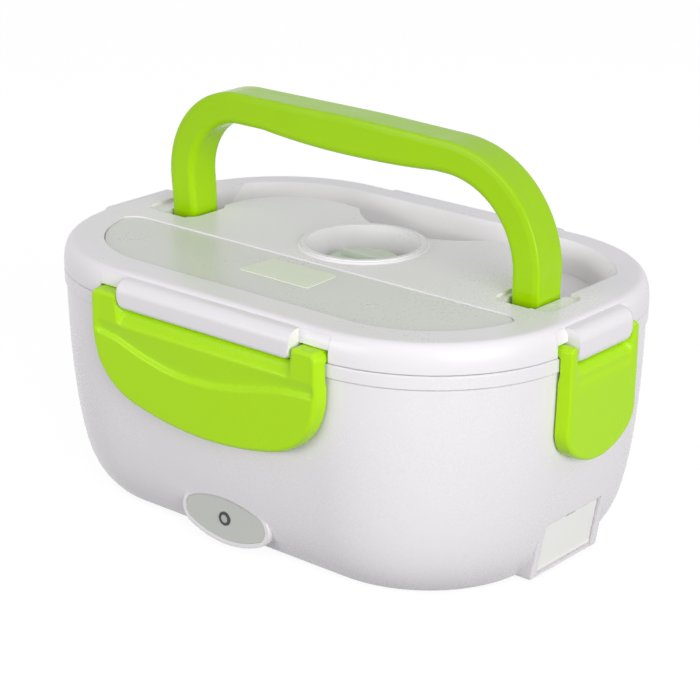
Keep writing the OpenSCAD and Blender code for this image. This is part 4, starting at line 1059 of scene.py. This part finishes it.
class LUNCHBOX_OT_stage(bpy.types.Operator):
    """Sets the camera, the floor, the world and the lamps"""

    bl_idname = "lunchbox.stage"
    bl_label = "Stage"

    def execute(self, context):
        scene = context.scene
        scene.view_settings.view_transform = "Standard"
        az, el, roll = (math.radians(v) for v in CAMERA_ANGLES)
        target = Vector(CAMERA_TARGET) * MM
        back = Vector((math.cos(el) * math.sin(az), -math.cos(el) * math.cos(az), math.sin(el)))
        right = Vector((0, 0, 1)).cross(back).normalized()
        up = back.cross(right)
        right, up = (right * math.cos(roll) + up * math.sin(roll),
                     up * math.cos(roll) - right * math.sin(roll))
        data = bpy.data.cameras.new("Camera")
        data.sensor_width, data.lens = SENSOR_MM, FOCAL_PX / FRAME_PX * SENSOR_MM
        data.clip_start, data.clip_end = 0.05, 20
        camera = bpy.data.objects.new("Camera", data)
        scene.collection.objects.link(camera)
        m = Matrix((right, up, back)).transposed().to_4x4()
        m.translation = target + back * CAMERA_DISTANCE
        camera.matrix_world = m
        scene.camera = camera

        world = bpy.data.worlds.new("Studio")
        world.use_nodes = True
        scene.world = world
        t = Tree(world.node_tree)
        t.nodes.clear()
        seen = seen_rays(t)
        white = t.node("ShaderNodeBackground", {"Color": (1, 1, 1, 1), "Strength": 1.0})
        fill_light = t.node("ShaderNodeBackground",
                            {"Color": (0.97, 0.96, 1, 1), "Strength": WORLD_FILL})
        mixed = t.node("ShaderNodeMixShader", {0: seen, 1: fill_light.outputs[0],
                                               2: white.outputs[0]})
        t.node("ShaderNodeOutputWorld", {"Surface": mixed.outputs[0]})

        corners = ((-1, -1), (1, -1), (1, 1), (-1, 1))
        floor = make_object("floor", [(x * FLOOR_HALF, y * FLOOR_HALF, 0) for x, y in corners],
                            [(0, 1, 2, 3)], smooth=False)
        for p in floor.data.polygons:
            if p.normal.z < 0:
                p.flip()
        mat = bpy.data.materials.new("Floor sheet")
        mat.use_nodes = True
        t = Tree(mat.node_tree)
        t.nodes.clear()
        seen = seen_rays(t)
        sheet = t.node("ShaderNodeBsdfDiffuse",
                       {"Color": (FLOOR_GREY, FLOOR_GREY, FLOOR_GREY, 1)})
        glow = t.node("ShaderNodeEmission", {"Color": (1, 1, 1, 1),
                                             "Strength": t.math("MULTIPLY", seen, FLOOR_GLOW)})
        both = t.node("ShaderNodeAddShader", {0: sheet.outputs[0], 1: glow.outputs[0]})
        t.node("ShaderNodeOutputMaterial", {"Surface": both.outputs[0]})
        floor.data.materials.append(mat)

        for name, energy, size, position in LAMPS:
            area_lamp(name, energy, size, position, LAMP_TARGET)
        return {"FINISHED"}


class LUNCHBOX_OT_finishes(bpy.types.Operator):
    """Builds the shader groups and the finishes"""

    bl_idname = "lunchbox.finishes"
    bl_label = "Finishes"

    def execute(self, context):
        build_groups()
        build_finishes(context.scene.lunchbox_colours, context.scene.lunchbox_sizes)
        return {"FINISHED"}


OPERATORS = (
    LUNCHBOX_OT_stage,
    LUNCHBOX_OT_finishes,
    LUNCHBOX_OT_shells,
    LUNCHBOX_OT_latches,
    LUNCHBOX_OT_hinges,
    LUNCHBOX_OT_handle,
    LUNCHBOX_OT_trim,
    LUNCHBOX_OT_feet,
)


class LUNCHBOX_PT_panel(bpy.types.Panel):
    """Lists the pieces, their sizes and their colours"""

    bl_idname = "LUNCHBOX_PT_panel"
    bl_label = "Lunch box"
    bl_space_type = "VIEW_3D"
    bl_region_type = "UI"
    bl_category = "Lunch box"

    def draw(self, context):
        for op in OPERATORS:
            self.layout.operator(op.bl_idname)
        for group in (context.scene.lunchbox_sizes, context.scene.lunchbox_colours):
            for key in group.__annotations__:
                self.layout.prop(group, key)


CLASSES = (LunchBoxColours, LunchBoxSizes, *OPERATORS, LUNCHBOX_PT_panel)


def register():
    for c in CLASSES:
        bpy.utils.register_class(c)
    bpy.types.Scene.lunchbox_colours = bpy.props.PointerProperty(type=LunchBoxColours)
    bpy.types.Scene.lunchbox_sizes = bpy.props.PointerProperty(type=LunchBoxSizes)


def unregister():
    del bpy.types.Scene.lunchbox_colours
    del bpy.types.Scene.lunchbox_sizes
    for c in reversed(CLASSES):
        bpy.utils.unregister_class(c)


def main():
    register()
    bpy.ops.lunchbox.stage()
    bpy.ops.lunchbox.finishes()
    bpy.ops.lunchbox.shells()
    bpy.ops.lunchbox.latches()
    bpy.ops.lunchbox.hinges()
    bpy.ops.lunchbox.handle()
    bpy.ops.lunchbox.trim()
    bpy.ops.lunchbox.feet()
    bpy.context.view_layer.update()


if __name__ == "__main__":
    main()
